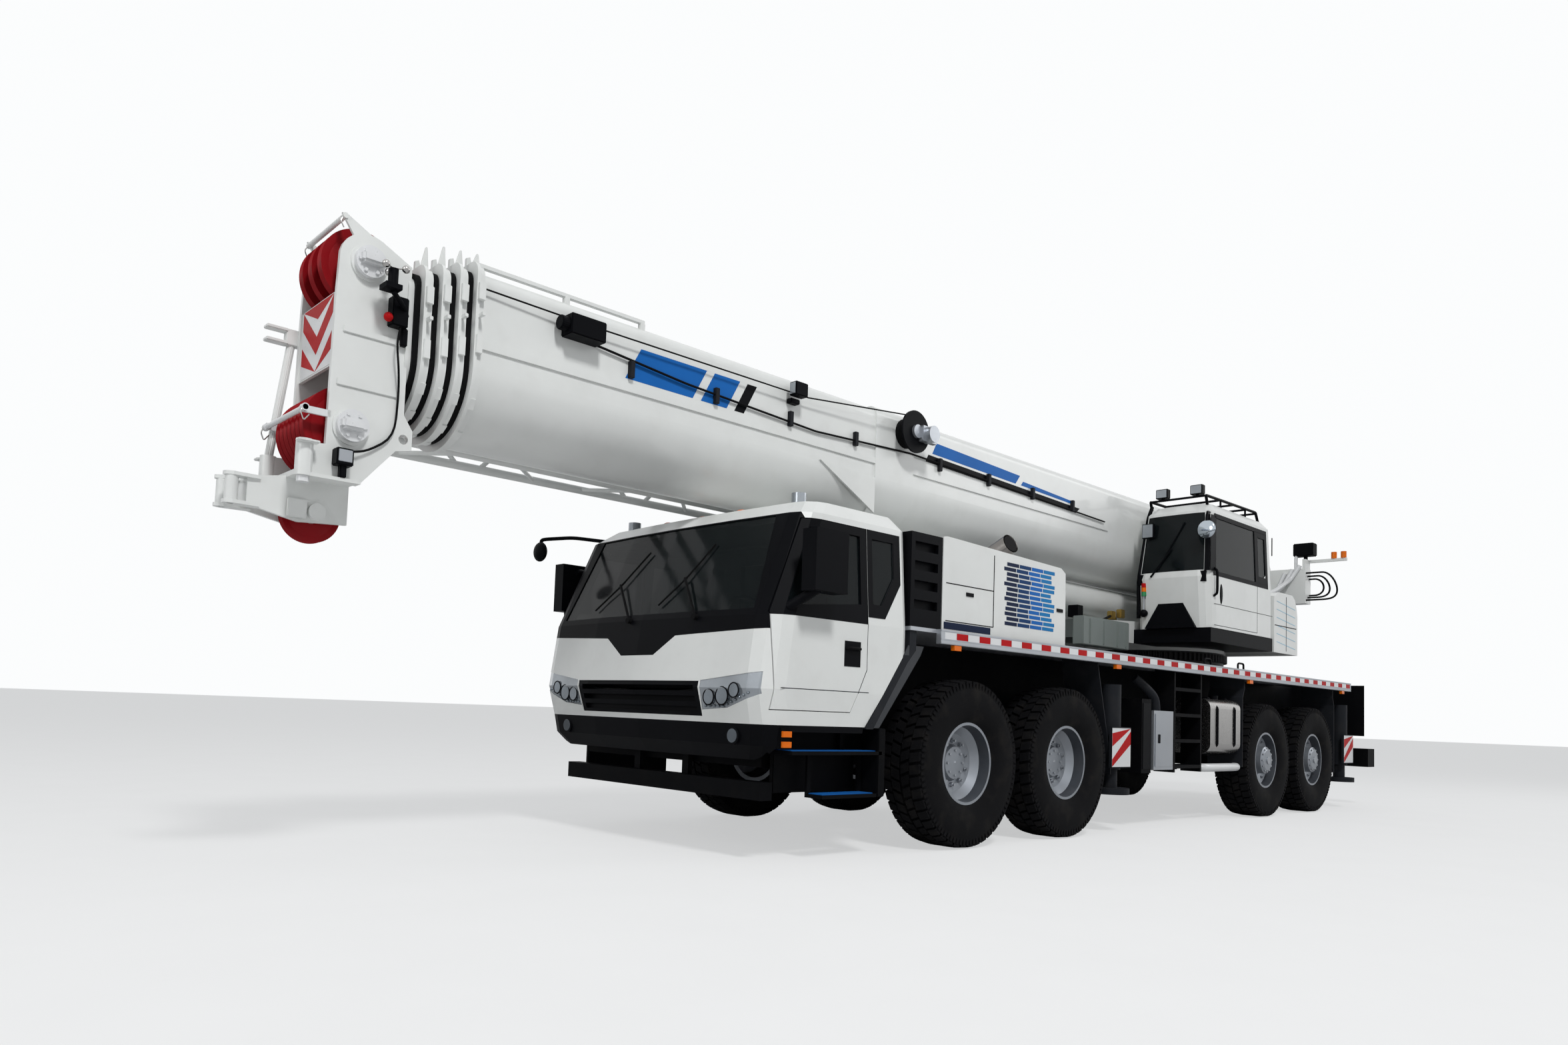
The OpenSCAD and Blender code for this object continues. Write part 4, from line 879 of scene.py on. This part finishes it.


# painted shade: black bands at the section ends stand for the shaded gaps between sections; white fins, pads
# and line guides on the section ends
for k, (end, body) in enumerate(zip(SECTION_ENDS, SECTION_BODIES)):
    ring = Group(f"gap_shade_{k + 1}", RUBBER, body)
    ring.hoop(boom_outline(k + 1, 0.024), boom_outline(k + 1, 0.006), end - 0.002, end + 0.034)
    ring.done()
for k, (end, body) in enumerate(zip(SECTION_ENDS, SECTION_BODIES)):
    low = 0.03 * k
    fit = Group(f"collar_fittings_{k + 1}", WHITE, body, 0.003)
    for sg in (1, -1):
        y, side, top = sg * (0.375 - low), sg * (0.475 - low), 3.785 - low
        peak = min(3.862, top + 0.140)
        fit.plate([(end - 0.058, top), (end - 0.004, top), (end - 0.034, peak), (end - 0.046, peak)],
                  *around(y, 0.008))
        for x0, x1, out, z0, z1 in ((0.052, 0.006, 0.024, 3.53, 3.64), (0.040, 0.018, 0.055, 3.42, 3.445),
                                    (0.050, 0.008, 0.018, 3.19, 3.31)):
            fit.box((end - x0, end - x1), sorted((side - 0.004 * sg, side + out * sg)), (z0 - low, z1 - low))
    fit.done()

# boom: lines with clips, boxes, a lamp, the reel, the top rail and plain stripes
line = Group("boom_lines", RUBBER, "boom", smooth=True)
line.tube([(-3.9, BOOM_Y + 0.02, 3.33), (-0.35, BOOM_Y + 0.02, 3.42), (0.9, BOOM_Y + 0.018, 3.36),
           (2.3, BOOM_Y + 0.02, 3.42), (3.2, BOOM_Y + 0.02, 3.50)], 0.009, 8)
line.tube([(REEL_X, BOOM_Y + 0.14, 3.72), (1.05, BOOM_Y + 0.06, 3.60), (3.26, BOOM_Y + 0.05, 3.60),
           (3.98, BOOM_Y + 0.03, 3.62)], 0.006, 8, False)
line.done()
clip = Group("boom_clips", GREY, "boom", 0.003)
for x in (-3.2, -2.4, -1.6, -0.8, 0.4, 1.2, 2.0, 2.8):
    clip.box(around(x, 0.02), (BOOM_Y - 0.002, BOOM_Y + 0.035), (3.34, 3.46))
clip.done()
cam_box = Group("boom_box", TRIM, "boom", 0.01)
cam_box.box((3.10, 3.38), (BOOM_Y - 0.002, BOOM_Y + 0.13), (3.48, 3.62))
cam_box.rod((3.38, BOOM_Y + 0.07, 3.55), (3.44, BOOM_Y + 0.07, 3.55), 0.05)
cam_box.box((1.14, 1.24), (BOOM_Y - 0.002, BOOM_Y + 0.06), (3.52, 3.56))
cam_box.box((1.12, 1.26), (BOOM_Y + 0.05, BOOM_Y + 0.13), (3.57, 3.68))
cam_box.done()
Group("boom_lamp", LAMP, "boom").box((1.258, 1.264), (BOOM_Y + 0.06, BOOM_Y + 0.12), (3.58, 3.67)).done()
reel = Group("reel_rope", RUBBER, "boom", smooth=True)
for k in range(6):
    y = BOOM_Y + 0.025 + 0.017 * k
    reel.tube([(REEL_X + a, y, REEL_Z + b) for a, b in circle(0.125)], 0.009, 8, False)
reel.done()
motor = Group("reel_motor", SILVER, "boom", smooth=True)
motor.rod((-0.40, BOOM_Y + 0.15, 3.57), (-0.40, BOOM_Y + 0.25, 3.57), 0.075, seg=32)
motor.box((-0.50, -0.30), (BOOM_Y + 0.151, BOOM_Y + 0.20), (3.50, 3.64))
motor.rod((REEL_X, BOOM_Y + 0.15, REEL_Z), (REEL_X, BOOM_Y + 0.175, REEL_Z), 0.06, seg=32)
motor.done()
top = Group("top_rail", WHITE, "boom", 0.004)
top.box((2.66, 3.99), (0.365, 0.395), (3.775, 3.805))
for x in (2.66, 3.30, 3.95):
    top.box((x, x + 0.04), (0.36, 0.40), (3.715, 3.78))
top.done()
dark = Group("stripe_dark", TRIM, "boom")
blue = Group("stripe_blue", BLUE, "boom")
for sg in (1, -1):
    y = sg * (BOOM_Y + 0.0006)
    low, high = 3.335, 3.575
    for g, x0, x1 in ((blue, 2.84, 2.22), (blue, 2.14, 1.88), (dark, 1.80, 1.70)):
        g.plate([(x0, low), (x1, low), (x1 - 0.13, high), (x0 - 0.13, high)], *around(y, 0.0006))
    dark.plate([(-0.60, 3.40), (-3.30, 3.34), (-3.38, 3.40), (-0.64, 3.47)], *around(y, 0.0006))
    blue.plate([(-0.70, 3.49), (-2.10, 3.455), (-2.18, 3.55), (-0.76, 3.60)], *around(y, 0.0006))
    blue.plate([(-2.20, 3.455), (-3.20, 3.425), (-3.26, 3.455), (-2.24, 3.50)], *around(y, 0.0006))
dark.done()
blue.done()

# boom head: chevron board, pins, boxes, lamp, wires, wind sensor, jib fork, ribs
Group("chevron_back", SIGN_W, HEAD).box((4.8205, 4.8225), (-0.245, 0.245), (2.97, 3.40)).done()
chevrons = Group("chevron_red", SIGN_R, HEAD)
for k in range(3):
    z = 2.86 + 0.22 * k
    for sg in (1, -1):
        quad = [(0.0, z), (sg * 0.24, z + 0.20), (sg * 0.24, z + 0.31), (0.0, z + 0.11)]
        quad = [(y, min(3.395, max(2.975, w))) for y, w in quad]
        chevrons.plate(quad, 4.8226, 4.8236, "x")
chevrons.done()
pins = Group("head_pins", SIGN_W, HEAD, smooth=True)
for x, z in ((4.65, 3.61), (4.70, 2.61)):
    for sg in (1, -1):
        pins.rod((x, sg * 0.30, z), (x, sg * 0.345, z), 0.095, seg=40)
        for k in range(6):
            a = k * math.pi / 3
            bolt_x, bolt_z = x + 0.07 * math.cos(a), z + 0.07 * math.sin(a)
            pins.rod((bolt_x, sg * 0.345, bolt_z), (bolt_x, sg * 0.357, bolt_z), 0.012, seg=6)
for sg in (1, -1):
    pins.rod((4.96, sg * 0.31, 2.235), (4.96, sg * 0.31, 2.27), 0.035)
    pins.rod((4.978, sg * 0.30, 2.66), (4.978, sg * 0.34, 2.66), 0.022)
    pins.box((4.82, 4.99), around(sg * 0.292, 0.008), (2.64, 2.68))
pins.rod((4.978, -0.34, 2.66), (4.978, 0.34, 2.66), 0.016)
pins.done()
clips = Group("pin_clips", CHROME, HEAD, smooth=True)
for sg in (1, -1):
    clips.tube([(4.978, sg * 0.33, 2.68), (5.005, sg * 0.335, 2.63), (4.985, sg * 0.34, 2.58),
                (4.955, sg * 0.335, 2.62)], 0.004, 6)
    clips.tube([(4.803, sg * 0.285, 3.860), (4.83, sg * 0.29, 3.82), (4.81, sg * 0.295, 3.78)], 0.004, 6)
clips.done()
keepers = Group("pin_keepers", SIGN_W, HEAD, 0.016)
for x, z in ((4.66, 3.62), (4.72, 2.61)):
    for sg in (1, -1):
        keepers.box((x - 0.08, x + 0.06), around(sg * 0.36, 0.035), around(z, 0.035))
keepers.done()
boxes = Group("head_box", TRIM, HEAD, 0.006)
for x, y, z in (((4.42, 4.52), (0.30, 0.38), (3.26, 3.44)), ((4.40, 4.44), (0.30, 0.34), (3.16, 3.27)),
                ((4.70, 4.80), (0.30, 0.38), (2.36, 2.46)), ((4.73, 4.77), (0.32, 0.36), (2.29, 2.37))):
    boxes.box(x, y, z)
boxes.done()
Group("head_box_plate", SILVER, HEAD, 0.002).box((4.71, 4.79), (0.379, 0.384), (2.38, 2.45)).done()
Group("head_lamp", SIGN_R, HEAD, smooth=True).ball((4.54, 0.365, 3.30), 0.028).done()
wires = Group("head_wires", RUBBER, HEAD, smooth=True)
wires.tube([(4.46, 0.36, 3.26), (4.48, 0.37, 3.15), (4.45, 0.35, 3.00), (4.43, 0.32, 2.85),
            (4.44, 0.315, 2.60), (4.60, 0.32, 2.48), (4.72, 0.34, 2.45)], 0.007, 8, 0.45)
wires.tube([(4.50, 0.36, 3.44), (4.58, 0.36, 3.50), (4.60, 0.42, 3.46), (4.56, 0.45, 3.50)], 0.007, 8, 0.45)
wires.done()
wind = Group("wind_sensor", TRIM, HEAD, smooth=True)
wind.rod((4.56, 0.45, 3.44), (4.56, 0.45, 3.56), 0.030)
wind.box((4.52, 4.62), (0.40, 0.50), (3.43, 3.46))
wind.tube([(4.40, 0.30, 3.36), (4.46, 0.40, 3.37), (4.56, 0.45, 3.43)], 0.016)
wind.done()
cups = Group("wind_cups", CHROME, HEAD, smooth=True)
WIND_X, WIND_Y, CUP_Z = 4.56, 0.45, 3.565
for k in range(3):
    a = 2 * math.pi * k / 3 + 0.5
    tip = (WIND_X + 0.07 * math.cos(a), WIND_Y + 0.07 * math.sin(a), CUP_Z)
    cups.rod((WIND_X, WIND_Y, CUP_Z), tip, 0.004, seg=8)
    cups.ball(tip, 0.024)
cups.done()
arm = Group("jib_fork", WHITE, HEAD, 0.004)
arm.box((4.70, 4.90), (-0.36, -0.30), (3.20, 3.30))
for z in (3.20, 3.28):
    arm.box((4.89, 5.02), (-0.365, -0.295), (z, z + 0.02))
arm.tube([(4.86, -0.335, 3.22), (4.95, -0.345, 2.46)], 0.026, 14)
for sg in (1, -1):
    arm.box((4.90, 5.02), around(sg * 0.36, 0.03), (2.455, 2.47))
arm.box((4.86, 4.97), (0.10, 0.13), (2.06, 2.17))
arm.done()
plates = Group("head_ribs", WHITE, HEAD, 0.004)
for sg in (1, -1):
    plates.box((4.42, 4.78), around(sg * 0.305, 0.006), (3.16, 3.20))
    plates.box((4.42, 4.80), around(sg * 0.305, 0.006), (2.84, 2.88))
plates.done()

# floor, made lighter for the camera's own rays alone
FAR = 240
BACKDROP = (0.97, 0.98, 0.985, 1)
floor_me = bpy.data.meshes.new("floor")
floor_me.from_pydata([(-FAR, -FAR, 0), (FAR, -FAR, 0), (FAR, FAR, 0), (-FAR, FAR, 0)], [], [(0, 1, 2, 3)])
floor = bpy.data.objects.new("floor", floor_me)
bpy.context.collection.objects.link(floor)
floor_me.materials.append(mat("floor", (0.78, 0.78, 0.78), rough=0.8, grain=2.0, vary=0.02, bump=0.0))
floor_tree = floor_me.materials[0].node_tree
link = floor_tree.links.new
glow = floor_tree.nodes.new("ShaderNodeEmission")
glow.inputs["Color"].default_value = BACKDROP
glow.inputs["Strength"].default_value = 1.0
sight = floor_tree.nodes.new("ShaderNodeLightPath")
share = floor_tree.nodes.new("ShaderNodeMath")
share.operation = "MULTIPLY"
share.inputs[1].default_value = 0.55
blend = floor_tree.nodes.new("ShaderNodeMixShader")
link(sight.outputs["Is Camera Ray"], share.inputs[0])
link(share.outputs[0], blend.inputs[0])
link(floor_tree.nodes["Principled BSDF"].outputs[0], blend.inputs[1])
link(glow.outputs[0], blend.inputs[2])
link(blend.outputs[0], floor_tree.nodes["Material Output"].inputs["Surface"])

# dim light all round, and a near-white backdrop for what is seen, mirrored or looked through
world = bpy.data.worlds.new("studio")
bpy.context.scene.world = world
world.use_nodes = True
world_tree = world.node_tree
link = world_tree.links.new
sky = world_tree.nodes["Background"]
sky.inputs["Color"].default_value = (0.92, 0.96, 1.0, 1)
sky.inputs["Strength"].default_value = 0.24
plain = world_tree.nodes.new("ShaderNodeBackground")
plain.inputs["Color"].default_value = BACKDROP
plain.inputs["Strength"].default_value = 1.0
path = world_tree.nodes.new("ShaderNodeLightPath")
seen = world_tree.nodes.new("ShaderNodeMath")
seen.operation = "MAXIMUM"
link(path.outputs["Is Camera Ray"], seen.inputs[0])
link(path.outputs["Is Transmission Ray"], seen.inputs[1])
glossy = world_tree.nodes.new("ShaderNodeMath")
glossy.operation = "MAXIMUM"
link(seen.outputs[0], glossy.inputs[0])
link(path.outputs["Is Glossy Ray"], glossy.inputs[1])
pick = world_tree.nodes.new("ShaderNodeMixShader")
link(glossy.outputs[0], pick.inputs[0])
link(sky.outputs[0], pick.inputs[1])
link(plain.outputs[0], pick.inputs[2])
link(pick.outputs[0], world_tree.nodes["World Output"].inputs["Surface"])


def area(loc, target, size, power):
    """round area light that points at a target"""
    d = bpy.data.lights.new("area", "AREA")
    d.shape = "DISK"
    d.size = size
    d.energy = power
    o = bpy.data.objects.new("area", d)
    o.location = loc
    o.rotation_euler = (Vector(target) - Vector(loc)).to_track_quat("-Z", "Y").to_euler()
    bpy.context.collection.objects.link(o)


# key light from the front left, fills from the front and from the rear left
area((9, 13, 17), (1, 0, 2), 3.5, 2300)
area((19, 3, 8), (3, 0, 2), 7.0, 420)
area((-14, 9, 10), (-3, 0, 2), 8.0, 420)

# camera solved from the photograph; PHOTO_W to CENTRE are in its pixels
PHOTO_W, PHOTO_H = 2352, 1568
FOCAL = 1541.807
CENTRE = (1088.486, 969.975)
SENSOR = 36.0
yaw, pitch, roll = math.radians(228.132), math.radians(3.534), math.radians(2.149)
ahead = Vector((math.cos(pitch) * math.cos(yaw), math.cos(pitch) * math.sin(yaw), math.sin(pitch)))
level = Vector((math.sin(yaw), -math.cos(yaw), 0))
above = level.cross(ahead)
cam_x = level * math.cos(roll) + above * math.sin(roll)
cam_y = -level * math.sin(roll) + above * math.cos(roll)
cam = bpy.data.cameras.new("cam")
cam.sensor_width = SENSOR
cam.lens = SENSOR * FOCAL / PHOTO_W
cam.shift_x = (PHOTO_W / 2 - CENTRE[0]) / PHOTO_W
cam.shift_y = (CENTRE[1] - PHOTO_H / 2) / PHOTO_W
cam.clip_end = 500
viewer = bpy.data.objects.new("cam", cam)
bpy.context.collection.objects.link(viewer)
stand = Matrix((cam_x, cam_y, -ahead)).transposed().to_4x4()
stand.translation = Vector((6.997 + SHIFT, 6.232, 1.033))
viewer.matrix_world = stand
bpy.context.scene.camera = viewer
bpy.context.scene.view_settings.view_transform = "Standard"
